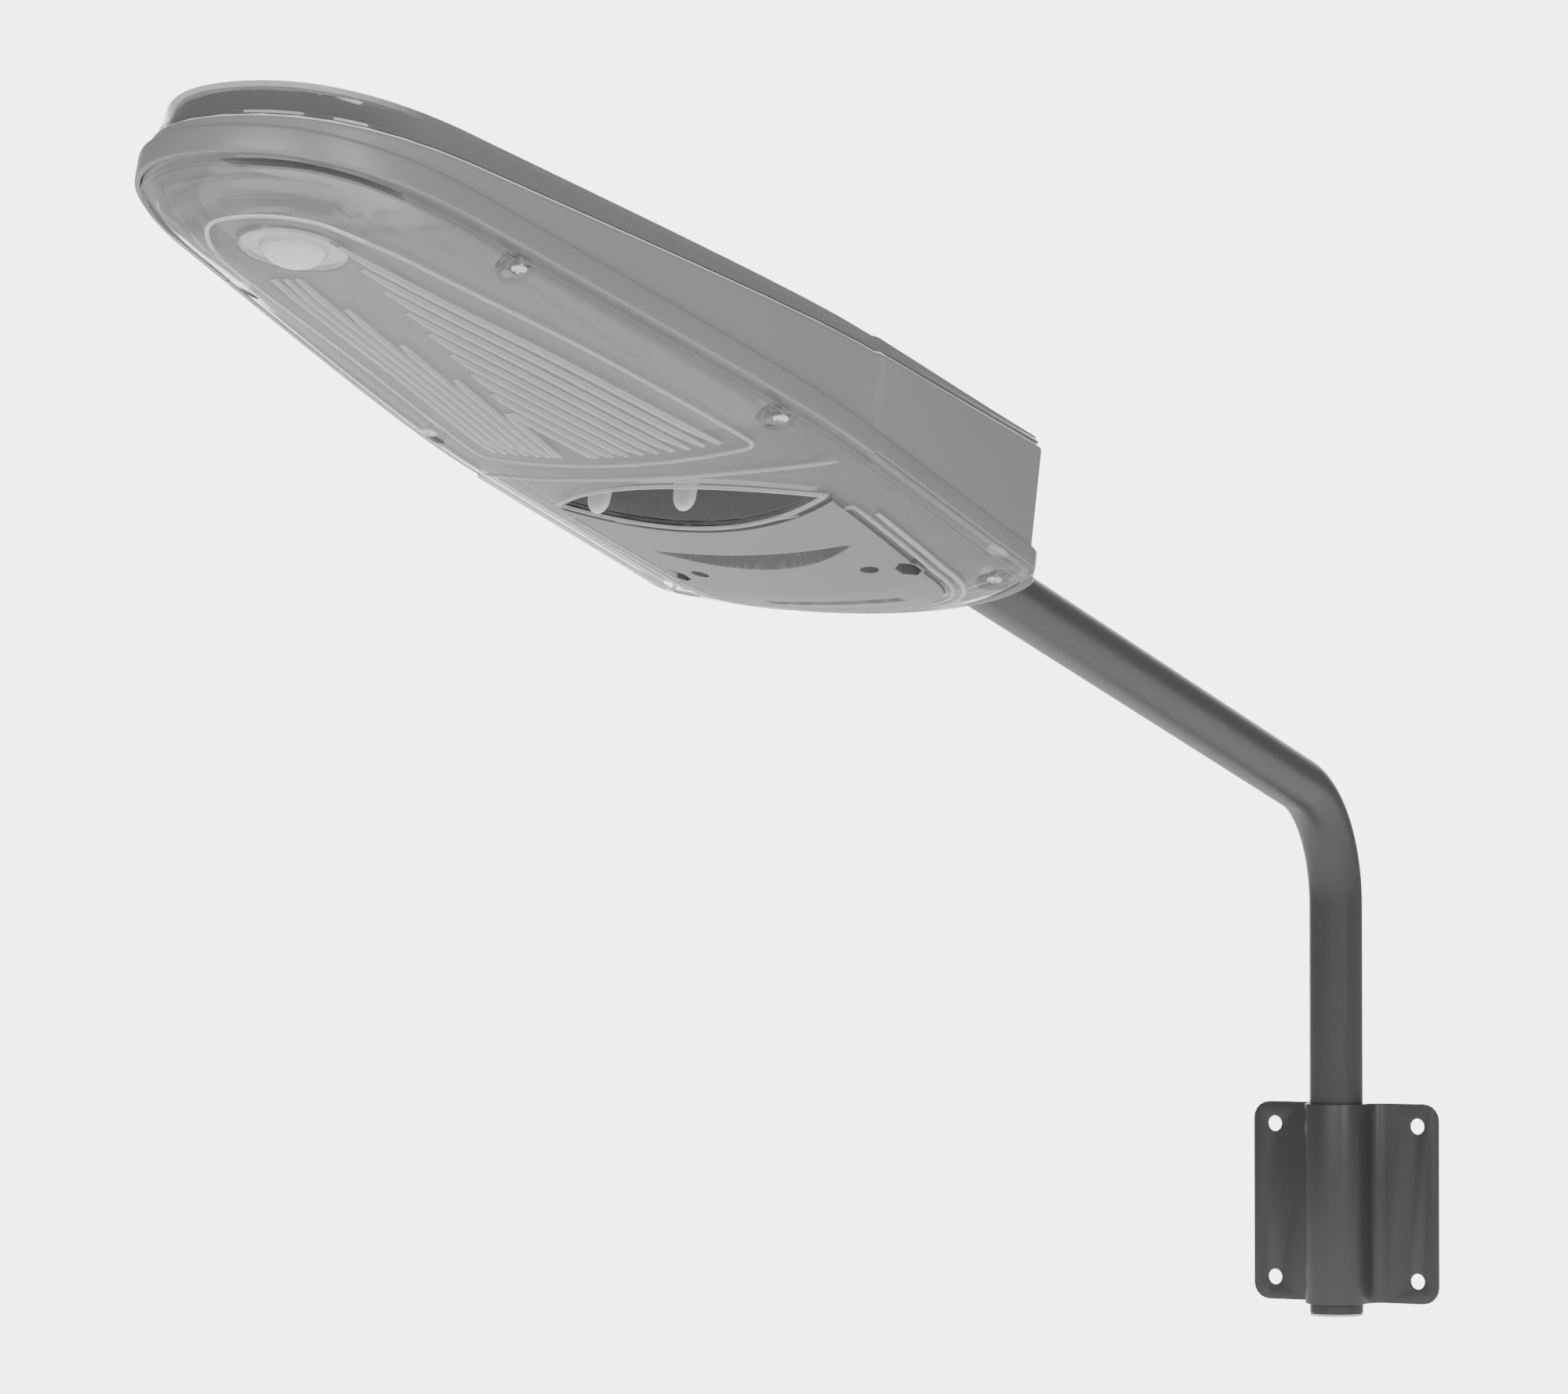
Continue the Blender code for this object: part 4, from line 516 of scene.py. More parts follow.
class Finish:
    """One material: its Principled shader and a method for every other node."""

    def __init__(self, name, colour, roughness, metallic=0.0, **uniform):
        self.material = bpy.data.materials.new(name)
        self.material.use_nodes = True
        self.tree = self.material.node_tree
        self.shader = self.tree.nodes["Principled BSDF"]
        self.shader.inputs["Base Color"].default_value = (*colour, 1.0)
        self.shader.inputs["Roughness"].default_value = roughness
        self.shader.inputs["Metallic"].default_value = metallic
        for socket, value in uniform.items():
            self.shader.inputs[socket.replace("_", " ")].default_value = value

    def node(self, kind, settings=None, output=0, **inputs):
        """Adds a node, sets it up, feeds its sockets, and gives back one of its outputs."""
        node = self.tree.nodes.new("ShaderNode" + kind)
        for key, value in (settings or {}).items():
            setattr(node, key, value)
        for name, value in inputs.items():
            socket = node.inputs[name.replace("_", " ")]
            if isinstance(value, Amount):
                self.tree.links.new(value.socket, socket)
            else:
                socket.default_value = value
        return Amount(self.tree, node.outputs[output])

    def feed(self, socket, value):
        self.tree.links.new(value.socket, self.shader.inputs[socket])

    def place(self, turned=False):
        """Object coordinates, level with the head if turned."""
        where = self.node("TexCoord", output="Object")
        if not turned:
            return where
        mapping = self.tree.nodes.new("ShaderNodeMapping")
        mapping.vector_type = "TEXTURE"
        mapping.inputs["Location"].default_value = head_frame.translation
        mapping.inputs["Rotation"].default_value = (-head_tilt, 0.0, 0.0)
        self.tree.links.new(where.socket, mapping.inputs["Vector"])
        return Amount(self.tree, mapping.outputs[0])

    def axes(self, vector):
        node = self.tree.nodes.new("ShaderNodeSeparateXYZ")
        self.tree.links.new(vector.socket, node.inputs[0])
        return [Amount(self.tree, output) for output in node.outputs]

    def noise(self, scale, detail=3.0, vector=None, rough=0.5):
        return self.node("TexNoise", Scale=scale, Detail=detail, Roughness=rough, Vector=vector or self.place())

    def tint(self, factor, first, second):
        """A colour between two, by a factor."""
        node = self.tree.nodes.new("ShaderNodeMix")
        node.data_type = "RGBA"
        self.tree.links.new(factor.socket, node.inputs["Factor"])
        for place, colour in ((6, first), (7, second)):
            if isinstance(colour, Amount):
                self.tree.links.new(colour.socket, node.inputs[place])
            else:
                node.inputs[place].default_value = (*colour, 1.0)
        return Amount(self.tree, node.outputs[2])

    def bump(self, height, strength, distance):
        node = self.tree.nodes.new("ShaderNodeBump")
        node.inputs["Strength"].default_value = strength
        node.inputs["Distance"].default_value = distance
        self.tree.links.new(height.socket, node.inputs["Height"])
        self.tree.links.new(node.outputs[0], self.shader.inputs["Normal"])

    def range(self, value, low, high, to_low=0.0, to_high=1.0):
        node = self.tree.nodes.new("ShaderNodeMapRange")
        self.tree.links.new(value.socket, node.inputs["Value"])
        for socket, number in (("From Min", low), ("From Max", high), ("To Min", to_low), ("To Max", to_high)):
            node.inputs[socket].default_value = number
        return Amount(self.tree, node.outputs[0])


print("shader helpers ready")

# %% [markdown]
# ## Paint and metal
# The bracket and the arm are powder coated: a warm grey skin that has melted into a faint orange-peel. The
# housing is moulded in silver-grey plastic with fine flakes. The screws are zinc plated, bright but a little
# cloudy. All of these vary by small amounts only: too much variation makes a new object look dirty.

# %% Opaque finishes


def powder_coat():
    finish = Finish("powder_coat", (0.13, 0.13, 0.122), 0.45, 0.25, Coat_Weight=0.3, Coat_Roughness=0.30)
    peel = finish.noise(420.0, 2.0)
    speck = finish.noise(1500.0, 1.0)
    cloud = finish.noise(9.0, 3.0)
    mixed = cloud * 0.6 + speck * 0.4
    finish.feed("Base Color", finish.tint(mixed, (0.050, 0.050, 0.048), (0.078, 0.078, 0.075)))
    finish.feed("Roughness", 0.36 + cloud * 0.14 + speck * 0.06)
    finish.bump(peel + speck * 0.15, 0.12, 0.0003)
    return finish.material


def silver_moulding():
    finish = Finish("silver_moulding", (0.40, 0.41, 0.41), 0.38, 0.15)
    flake = finish.noise(1400.0, 1.0)
    cloud = finish.noise(6.0, 2.0)
    mixed = flake * 0.25 + cloud * 0.75
    finish.feed("Base Color", finish.tint(mixed, (0.26, 0.265, 0.275), (0.36, 0.365, 0.375)))
    finish.feed("Roughness", 0.30 + cloud * 0.10 + flake * 0.08)
    finish.bump(flake, 0.03, 0.0001)
    return finish.material


def rim_moulding():
    finish = Finish("rim_moulding", (0.27, 0.28, 0.26), 0.40, 0.15)
    grain = finish.noise(1400.0, 1.0)
    cloud = finish.noise(7.0, 2.0)
    mixed = grain * 0.25 + cloud * 0.75
    finish.feed("Base Color", finish.tint(mixed, (0.235, 0.240, 0.236), (0.315, 0.320, 0.314)))
    finish.feed("Roughness", 0.34 + cloud * 0.12)
    finish.bump(grain, 0.03, 0.0001)
    return finish.material


def cover_moulding():
    finish = Finish("cover_moulding", (0.35, 0.36, 0.34), 0.42)
    spark = finish.noise(1500.0, 2.0)
    cloud = finish.noise(12.0, 2.0)
    mixed = spark * 0.4 + cloud * 0.6
    finish.feed("Base Color", finish.tint(mixed, (0.18, 0.184, 0.178), (0.25, 0.255, 0.248)))
    finish.feed("Roughness", 0.36 + spark * 0.14)
    finish.bump(spark, 0.06, 0.0001)
    return finish.material


def zinc_plate():
    finish = Finish("zinc_plate", (0.72, 0.73, 0.74), 0.25, 1.0)
    cloud = finish.noise(260.0, 3.0)
    finish.feed("Base Color", finish.tint(cloud, (0.62, 0.64, 0.66), (0.83, 0.84, 0.83)))
    finish.feed("Roughness", 0.16 + cloud * 0.22)
    finish.bump(cloud, 0.08, 0.0002)
    return finish.material


def soft_rubber():
    finish = Finish("soft_rubber", (0.03, 0.03, 0.03), 0.75)
    grain = finish.noise(900.0, 2.0)
    finish.feed("Roughness", 0.62 + grain * 0.25)
    finish.bump(grain, 0.15, 0.0002)
    return finish.material


# A dark grey moulding for the panel frame, eye cup and battery tray. The battery cover's wells and notches get
# it too, as painted shade.
def dark_moulding_and_pocket_shade():
    finish = Finish("dark_moulding_and_pocket_shade", (0.18, 0.18, 0.19), 0.5)
    grain = finish.noise(1300.0, 2.0)
    finish.feed("Base Color", finish.tint(grain, (0.15, 0.153, 0.157), (0.21, 0.213, 0.218)))
    finish.feed("Roughness", 0.42 + grain * 0.2)
    finish.bump(grain, 0.10, 0.0002)
    return finish.material


def white_moulding():
    finish = Finish("white_moulding", (0.82, 0.83, 0.82), 0.3)
    cloud = finish.noise(40.0, 2.0)
    finish.feed("Base Color", finish.tint(cloud, (0.78, 0.79, 0.79), (0.88, 0.89, 0.88)))
    finish.feed("Roughness", 0.26 + cloud * 0.12)
    return finish.material


def frosted_silicone():
    finish = Finish("frosted_silicone", (0.86, 0.87, 0.86), 0.5, Subsurface_Weight=0.35)
    finish.shader.inputs["Subsurface Radius"].default_value = (0.004, 0.004, 0.004)
    cloud = finish.noise(160.0, 2.0)
    finish.feed("Base Color", finish.tint(cloud, (0.80, 0.81, 0.81), (0.92, 0.93, 0.92)))
    finish.feed("Roughness", 0.42 + cloud * 0.2)
    finish.bump(cloud, 0.06, 0.0003)
    return finish.material


coat = powder_coat()
silver = silver_moulding()
rim_grey = rim_moulding()
cover_grey = cover_moulding()
zinc = zinc_plate()
rubber = soft_rubber()
dark = dark_moulding_and_pocket_shade()
white = white_moulding()
silicone = frosted_silicone()
print("opaque finishes:", len(bpy.data.materials))

# %% [markdown]
# ## Clear plastic
# The lens and the top cover are clear mouldings. Real clear plastic shows very little of itself where it is seen
# square on, and mirrors its surroundings where it is seen at a glance. Tracing light through thick walls is slow
# and noisy, so the skin is made partly transparent by its viewing angle: a Fresnel node drives the alpha.

# %% Clear finishes
CLEAR_TIP_LENGTH = 0.025
LINING_FADE = 0.040


def clear_moulding(name, body, glance, colour, cloud_size):
    """Clear plastic: body is how much shows square on, glance how much more at a low angle."""
    finish = Finish(name, colour, 0.08, IOR=1.49, Specular_IOR_Level=0.9, Coat_Weight=0.6, Coat_Roughness=0.03)
    fresnel = finish.node("Fresnel", IOR=1.49)
    cloud = finish.noise(cloud_size, 2.0)
    finish.feed("Alpha", (body + cloud * 0.05 + fresnel * glance).at_most(0.95))
    finish.feed("Roughness", 0.05 + cloud * 0.06)
    return finish.material


def smoked_skirt():
    """The cover's side: clear at the tip, and backed by a grey lining along the flanks."""
    gloss = {"Coat_Weight": 1.0, "Coat_Roughness": 0.03, "Coat_IOR": 2.2}
    finish = Finish("smoked_skirt", (0.17, 0.17, 0.18), 0.1, IOR=1.5, **gloss)
    along = finish.axes(finish.place(turned=True))[1]
    lining_start = CLEAR_TIP_LENGTH - HEAD_LENGTH
    lining = finish.range(along, lining_start, lining_start + LINING_FADE)
    cloud = finish.noise(24.0, 2.0)
    finish.feed("Alpha", (0.55 + lining * 0.42 + cloud * 0.03).at_most(1.0))
    finish.feed("Roughness", 0.12 + cloud * 0.10)
    return finish.material


lens_clear = clear_moulding("lens_clear", 0.04, 0.75, (0.38, 0.385, 0.395), 30.0)
rib_clear = clear_moulding("rib_clear", 0.26, 0.70, (0.92, 0.92, 0.94), 60.0)
dome_clear = clear_moulding("dome_clear", 0.06, 0.75, (0.80, 0.81, 0.83), 20.0)
skirt = smoked_skirt()
print("clear finishes:", lens_clear.name, rib_clear.name, dome_clear.name, skirt.name)

# %% [markdown]
# ## Boards, cells and the panel
# Behind the clear skins sit the electrical pieces. Their patterns follow the head, so they read coordinates that
# are turned level with it: a grid of cells with fine silver fingers on the panel, copper tracks under green or
# white lacquer on the boards, and a plain printed band on each battery sleeve.

# %% Electrical finishes


def lacquered_board(name, lacquer, track):
    finish = Finish(name, lacquer, 0.35)
    x, y, _ = finish.axes(finish.place(turned=True))
    lane = (0.5 + x).repeat(0.0042).below(0.0009)
    cross = (0.003 - y).repeat(0.0095).below(0.0009)
    patch = finish.noise(90.0, 0.0).above(0.52)
    finish.feed("Base Color", finish.tint((lane + cross).at_most(1.0) * patch, lacquer, track))
    finish.feed("Roughness", 0.30 + patch * 0.08)
    return finish.material


def solar_cells():
    finish = Finish("solar_cells", (0.015, 0.02, 0.05), 0.15, Coat_Weight=1.0, Coat_Roughness=0.05)
    x, y, _ = finish.axes(finish.place(turned=True))
    across = (x + 0.52).repeat(0.052)
    along = (0.01 - y).repeat(0.104)
    seam = (across.below(0.0022) + along.below(0.0022)).at_most(1.0)
    finger = (0.01 - y).repeat(0.0021).below(0.00025)
    bus = (x + 0.513).repeat(0.026).below(0.0014)
    grain = finish.noise(55.0, 4.0)
    cell = finish.tint(grain, (0.010, 0.014, 0.040), (0.022, 0.034, 0.095))
    lined = finish.tint((finger * 0.45 + bus).at_most(1.0), cell, (0.55, 0.57, 0.60))
    finish.feed("Base Color", finish.tint(seam, lined, (0.05, 0.052, 0.056)))
    finish.feed("Roughness", 0.12 + grain * 0.1)
    return finish.material


def cell_sleeve():
    finish = Finish("cell_sleeve", (0.08, 0.28, 0.14), 0.3, Coat_Weight=0.5)
    along = finish.axes(finish.place(turned=True))[1]
    band = (0.002 - along).repeat(0.029).below(0.010)
    finish.feed("Base Color", finish.tint(band, (0.06, 0.25, 0.12), (0.80, 0.81, 0.78)))
    finish.feed("Roughness", 0.26 + finish.noise(300.0) * 0.1)
    return finish.material


def light_chip():
    finish = Finish("light_chip", (0.95, 0.75, 0.25), 0.35)
    grain = finish.noise(800.0, 1.0)
    finish.feed("Base Color", finish.tint(grain, (0.93, 0.66, 0.16), (0.98, 0.84, 0.42)))
    return finish.material


def lead_skin(name, colour):
    finish = Finish(name, colour, 0.4)
    grain = finish.noise(700.0, 2.0)
    finish.feed("Roughness", 0.34 + grain * 0.16)
    finish.bump(grain, 0.05, 0.0002)
    return finish.material


green_board = lacquered_board("green_board", (0.02, 0.17, 0.07), (0.10, 0.36, 0.16))
white_board = lacquered_board("white_board", (0.80, 0.81, 0.79), (0.70, 0.71, 0.68))
panel_cells = solar_cells()
sleeve = cell_sleeve()
chip_yellow = light_chip()
red_skin = lead_skin("red_lead_skin", (0.45, 0.02, 0.02))
black_skin = lead_skin("black_lead_skin", (0.02, 0.02, 0.02))
print("electrical finishes made")

# %% [markdown]
# ## The wall bracket
# The bracket is pressed from one sheet: two flat flanges with bolt holes, and a half-round channel that wraps
# the tube. The frame's piece has the right shape, but its edges are knife sharp. A merged copy is bevelled, as a
# sheared and coated edge is never sharp. Two short weld beads hold the tube to the channel.

# %% Bracket


def merged_copy(node, name):
    """A copy of a frame piece with its loose triangles sewn together."""
    twin = copied(nodes[node], name)
    choose(twin)
    bpy.ops.object.mode_set(mode="EDIT")
    bpy.ops.mesh.select_all(action="SELECT")
    bpy.ops.mesh.remove_doubles(threshold=1e-6)
    bpy.ops.mesh.dissolve_limited(angle_limit=math.radians(1.0))
    bpy.ops.object.mode_set(mode="OBJECT")
    return twin


bracket = merged_copy("bracket_plate", "pressed_bracket")
soften(bracket, 0.0005, 50)
stands_for(bracket, "bracket_arm", "powder_coat", coat, "bracket_plate")

TUBE_LINE_Y = -(TUBE_RADIUS + 0.0003)
WELD_LENGTH = 0.012
WELD_RADIUS = 0.0016


def weld_bead(name, side, height):
    """A short bead of rippled metal where the channel's edge meets the tube."""
    bpy.ops.object.select_all(action="DESELECT")
    bpy.ops.mesh.primitive_uv_sphere_add(segments=20, ring_count=14, radius=WELD_RADIUS, location=(0, 0, 0))
    bead = bpy.context.object
    bead.name = name
    bpy.ops.object.mode_set(mode="EDIT")
    bpy.ops.mesh.select_all(action="SELECT")
    bpy.ops.transform.resize(value=(1.0, 1.0, WELD_LENGTH / (2 * WELD_RADIUS)))
    bpy.ops.transform.vertex_random(offset=0.00022, seed=3)
    bpy.ops.object.mode_set(mode="OBJECT")
    bpy.ops.object.shade_smooth()
    place = (side * (TUBE_RADIUS + 0.0012), TUBE_LINE_Y + 0.0135, height)
    return placed(bead, Matrix.Translation(place))


plate_low, plate_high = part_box("bracket_plate")
bead_heights = (plate_high.z - 0.008, plate_low.z + 0.008)
weld_places = [(side, z) for side in (-1, 1) for z in bead_heights]
welds = joined("tube_welds", [weld_bead("weld_%d" % i, *place) for i, place in enumerate(weld_places)])
stands_for(welds, "bracket_arm", "powder_coat", coat)

# %% [markdown]
# ## The arm
# The arm is one round tube, bent once. It is lofted along its centre line: straight, round the bend, straight.
# The inner wall is part of the same loft, so the wall has its true thickness at both ends.

# %% Arm tube


def arm_line(bend_steps):
    """The centre line as (y, z, angle of travel above level)."""
    turn = math.pi / 2 - arm_tilt
    reach = ARM_BEND_RADIUS * math.tan(turn / 2)
    tube_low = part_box("arm_tube")[0].z
    line = [(TUBE_LINE_Y, tube_low, math.pi / 2)]
    for i in range(bend_steps + 1):
        a = turn * i / bend_steps
        y = TUBE_LINE_Y - ARM_BEND_RADIUS * (1 - math.cos(a))
        z = arm_corner.z - reach + ARM_BEND_RADIUS * math.sin(a)
        line.append((y, z, math.pi / 2 - a))
    end = ARM_RUN + TUBE_INSERTION
    line.append((arm_corner.y - end * math.cos(arm_tilt), arm_corner.z + end * math.sin(arm_tilt), arm_tilt))
    return line


def tube_loops(radius, sides=48):
    loops = []
    for y, z, angle in arm_line(28):
        up = Vector((0.0, math.sin(angle), math.cos(angle)))
        turns = [2 * math.pi * i / sides for i in range(sides)]
        loops.append([Vector((radius * math.cos(a), y, z)) + up * radius * math.sin(a) for a in turns])
    return loops


tube = loft("bent_tube", tube_loops(TUBE_RADIUS) + tube_loops(TUBE_RADIUS - TUBE_WALL)[::-1], joined=True)
soften(tube, 0.0004, 60)
stands_for(tube, "bracket_arm", "powder_coat", coat, "arm_tube")

plug = merged_copy("tube_end_plug", "tube_plug")
soften(plug, 0.0003, 40)
stands_for(plug, "bracket_arm", "pale_plastic", white, "tube_end_plug")

# %% [markdown]
# ## The housing
# The housing is the silver body of the head. From below: a proud rim band that shelters the seal, a step, a
# side wall that grows taller towards the rear, and a flat deck. The rear block's wall stands a little prouder,
# which leaves a fine upright step. It is lofted from inside to outside in one pass, so the wall has a true
# thickness, and its bosses and holes follow with Booleans.

# %% Housing
SHELL = 0.0025
RIM_HEIGHT = 0.013
RIM_STEP = 0.0035
REAR_SIDE_STEP = 0.0015
REAR_LEDGE = 0.014
DECK_TIP_HEIGHT = 0.0178
DECK_SLOPE = 0.080
LIP_THICKNESS = 0.0027
SHOULDER_HEIGHT = 0.0045
SHOULDER_WIDTH = 0.0045
FLANGE_TOP = 0.0015
GAP = 0.0003
SCREW_INSET = 0.0130
BOSS_RADIUS = 0.0045
TUBE_HOLE_CLEARANCE = 0.0035


def deck(y):
    return DECK_TIP_HEIGHT + DECK_SLOPE * (y + HEAD_LENGTH)


def wall_inset(y):
    share = smooth_share(y + REAR_BLOCK_LENGTH + 2 * JOG_STEP, 4 * JOG_STEP)
    return RIM_STEP + (REAR_SIDE_STEP - RIM_STEP) * share


def rim_foot(y):
    return FLANGE_TOP + GAP if in_block(y) else 0.0


def wall(extra):
    return lambda y: wall_inset(y) + extra


def boss_places():
    """Lens screw places, in the frame's order."""
    places = []
    for y in (-0.508, -0.304):
        x = half_width(y) - SCREW_INSET
        places += [(x, y), (-x, y)]
    return places + [(CORNER_X, CORNER_Y), (-CORNER_X, CORNER_Y)]


def housing_loops():
    deep = RIM_STEP + SHELL
    rear_deep = REAR_LEDGE + SHELL
    shoulder = LIP_THICKNESS + SHOULDER_WIDTH
    return [
        ring(deep + 0.002, lambda y: deck(y) - SHELL, rear_deep + 0.002),
        ring(deep + 0.001, lambda y: min(RIM_HEIGHT, deck(y) - SHELL - 0.001), rear_deep),
        ring(shoulder, SHOULDER_HEIGHT + 0.0005, rear_deep),
        ring(shoulder, SHOULDER_HEIGHT),
        ring(LIP_THICKNESS, SHOULDER_HEIGHT),
        ring(LIP_THICKNESS, lambda y: rim_foot(y) + 0.0003),
        ring(LIP_THICKNESS - 0.0003, rim_foot),
        ring(0.0012, rim_foot),
        ring(0.0005, lambda y: rim_foot(y) + 0.0002),
        ring(0.0001, lambda y: rim_foot(y) + 0.0007),
        ring(0.0, lambda y: rim_foot(y) + 0.0014),
        ring(0.0, RIM_HEIGHT - 0.0022),
        ring(0.0003, RIM_HEIGHT - 0.0011),
        ring(0.0010, RIM_HEIGHT - 0.0003),
        ring(0.0020 - 0.0006, RIM_HEIGHT),
        ring(wall(-0.0001), RIM_HEIGHT + 0.0002, REAR_LEDGE - 0.0012),
        ring(wall(0.0), RIM_HEIGHT + 0.0012, REAR_LEDGE),
        ring(wall(0.0007), lambda y: deck(y) - 0.0024, REAR_LEDGE + 0.0007),
        ring(wall(0.0010), lambda y: deck(y) - 0.0012, REAR_LEDGE + 0.0010),
        ring(wall(0.0016), lambda y: deck(y) - 0.0004, REAR_LEDGE + 0.0016),
        ring(wall(0.0025), deck, REAR_LEDGE + 0.0025),
    ]


shell = loft("silver_housing", housing_loops(), angle=40)
for x, y in boss_places():
    carve(shell, rod("boss", BOSS_RADIUS, SHOULDER_HEIGHT, deck(y) - SHELL / 2, (x, y), 24), "UNION")
tube_hole = rod("tube_hole", TUBE_RADIUS + TUBE_HOLE_CLEARANCE, -0.01, 0.03, sides=48)
arm_frame = Matrix.Translation(over_rear_edge) @ Matrix.Rotation(math.pi / 2 - arm_tilt, 4, "X")
placed(tube_hole, head_frame.inverted() @ arm_frame)
carve(shell, tube_hole)
print("housing faces after carving:", len(shell.data.polygons))

# %% [markdown]
# The rim band is the same moulding in a slightly greener, darker grey. It is coloured by its place: a second
# material slot goes to the faces of the band, chosen by where they lie in the head's frame.

# %% Rim band colour


def paint_faces(piece, finish, test):
    """Gives a second finish to the faces whose centre and normal pass the test."""
    piece.data.materials.append(finish)
    slot = len(piece.data.materials) - 1
    count = 0
    for face in piece.data.polygons:
        if test(face.center, face.normal):
            face.material_index = slot
            count += 1
    return count


shell.data.materials.append(silver)
band_faces = paint_faces(shell, rim_grey, lambda c, n: c.z < RIM_HEIGHT + 0.0001)
placed(shell, head_frame)
bpy.ops.object.shade_smooth_by_angle(angle=math.radians(38))
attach(shell, "head")
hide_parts("housing")
print("rim band faces:", band_faces)

# %% [markdown]
# ## The clear top cover
# The cover keeps rain off the solar panel. It is a shallow clear dome, tallest at the tip, so the panel can lie
# level under it. Its rounded shoulder is what mirrors the sky in long white streaks, so the shoulder gets most
# of the loops.

# %% Top cover
COVER_STEP = 0.003
COVER_TIP_RISE = 0.019
COVER_REAR_RISE = 0.0058
COVER_CROWN = 0.0025
SEAL_THICKNESS = 0.0009


def cover_top(y):
    share = (y + HEAD_LENGTH) / HEAD_LENGTH
    return deck(y) + COVER_TIP_RISE + (COVER_REAR_RISE - COVER_TIP_RISE) * share


def cover_foot(y):
    return deck(y) + 2 * GAP + SEAL_THICKNESS


def part_way(share):
    return lambda y: cover_foot(y) + (cover_top(y) - cover_foot(y)) * share


def step(extra):
    return lambda y: wall_inset(y) + COVER_STEP + extra


def step_rear(extra):
    return REAR_LEDGE + COVER_STEP + extra


def shoulder_loops(steps=9):
    """A quarter-round shoulder from the wall to the top."""
    loops = []
    for i in range(steps + 1):
        a = math.pi / 2 * i / steps
        inset = 0.0016 + 0.0070 * (1 - math.cos(a))
        loops.append(ring(step(inset), part_way(0.62 + 0.38 * math.sin(a)), step_rear(inset)))
    return loops


def crown(inset, share):
    return leaf(inset, lambda x, y: cover_top(y) + COVER_CROWN * share)


dome_loops = [
    ring(step(0.0120), lambda y: cover_top(y) - SHELL, step_rear(0.0120)),
    ring(step(0.0060), lambda y: cover_top(y) - SHELL - 0.0008, step_rear(0.0060)),
    ring(step(0.0038), part_way(0.5), step_rear(0.0038)),
    ring(step(0.0025), cover_foot, step_rear(0.0025)),
    ring(step(0.0), cover_foot, step_rear(0.0)),
    ring(step(0.0), lambda y: cover_foot(y) + 0.0012, step_rear(0.0)),
    ring(step(0.0006), lambda y: cover_foot(y) + 0.0016, step_rear(0.0006)),
]
dome_loops += shoulder_loops()
dome_loops += [crown(0.022, 0.30), crown(0.040, 0.65), crown(0.065, 0.88), crown(0.090, 1.0)]
dome = loft("clear_dome", dome_loops, angle=50)
dome.data.materials.append(dome_clear)


def on_skirt(c, n):
    """Whether a face belongs to the cover's side rather than its top."""
    near_side = half_width(c.y) - abs(c.x) < 0.0125 and c.y > -0.55
    return near_side or (abs(n.z) < 0.80 and c.z < cover_top(c.y) - 0.0012)


side_faces = paint_faces(dome, skirt, on_skirt)
placed(dome, head_frame)
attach(dome, "head")
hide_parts("top_cover")
print("cover side faces:", side_faces)

# %% [markdown]
# ## The underside's crown
# The lens and the battery cover share one gently crowned surface, deepest along the middle. At the nose it falls
# away in two rounded steps that follow the rim. One function gives its height anywhere, so ribs, beads and the
# cover all lie exactly on it.

# %% Crowned surface
LENS_WALL = 0.0025
FLANGE_BOTTOM = -0.0035
EDGE_DEPTH = 0.0065
BELLY_DEPTH = 0.0182
BACK_RAMP = 0.080
NOSE_STEPS = ((0.30, 0.0175, 0.0045), (0.06, 0.022, 0.008), (0.46, 0.030, 0.007), (0.18, 0.037, 0.030))


def nose_fall(distance):
    """Share of the full depth reached at a distance in from the nose's rim."""
    return sum(share * smooth_share(distance - start, reach) for share, start, reach in NOSE_STEPS)


def belly(x, y, inset=0.045):
    reach = max(half_width(min(max(y, -HEAD_LENGTH), CORNER_Y)) - 0.012, 0.02)
    squareness = 2 + 3 * (1 - smooth_share(y + HEAD_LENGTH, 0.25))
    across = 1 - min(abs(x / reach) ** squareness, 1.0)
    front = nose_fall(inset + max(0.0, y + HEAD_LENGTH - 0.05))
    back = smooth_share(-0.008 - y, BACK_RAMP)
    return -(EDGE_DEPTH + (BELLY_DEPTH - EDGE_DEPTH) * across * front * back)


print("depth in the middle: %.1f mm" % (belly(0.0, -0.3) * -1000))

# %% [markdown]
# ## The lens
# One clear moulding closes the head from below. Its flange sits inside the rim, a sloped wall drops to the
# crowned belly, and pockets let the screws reach the flange. It has openings for the battery cover and for the
# eye-shaped window, and a ring boss that carries the motion sensor.

# %% Lens shell
SENSOR_Y = 0.074 - HEAD_LENGTH
SENSOR_RADIUS = 0.0148
SENSOR_BOSS_RADIUS = 0.0255
POCKET_RADIUS = 0.0078
POCKET_FLOOR_RADIUS = 0.0094
POCKET_FLOOR_SHIFT = 0.0025
POCKET_SEAT = FLANGE_BOTTOM + 0.0005


def lens_edge(y):
    return GAP if in_block(y, JOG_STEP / 2) else LIP_THICKNESS + 2 * GAP


def edge_plus(extra):
    return lambda y: lens_edge(y) + extra


def inner_loops():
    insets = (0.104, 0.094, 0.082, 0.070, 0.058, 0.047, 0.038, 0.031, 0.026)
    loops = [leaf(i, lambda x, y, i=i: belly(x, y, i) + LENS_WALL) for i in insets]
    return loops + [ring(0.0146, -0.0010), ring(0.0118, FLANGE_TOP)]


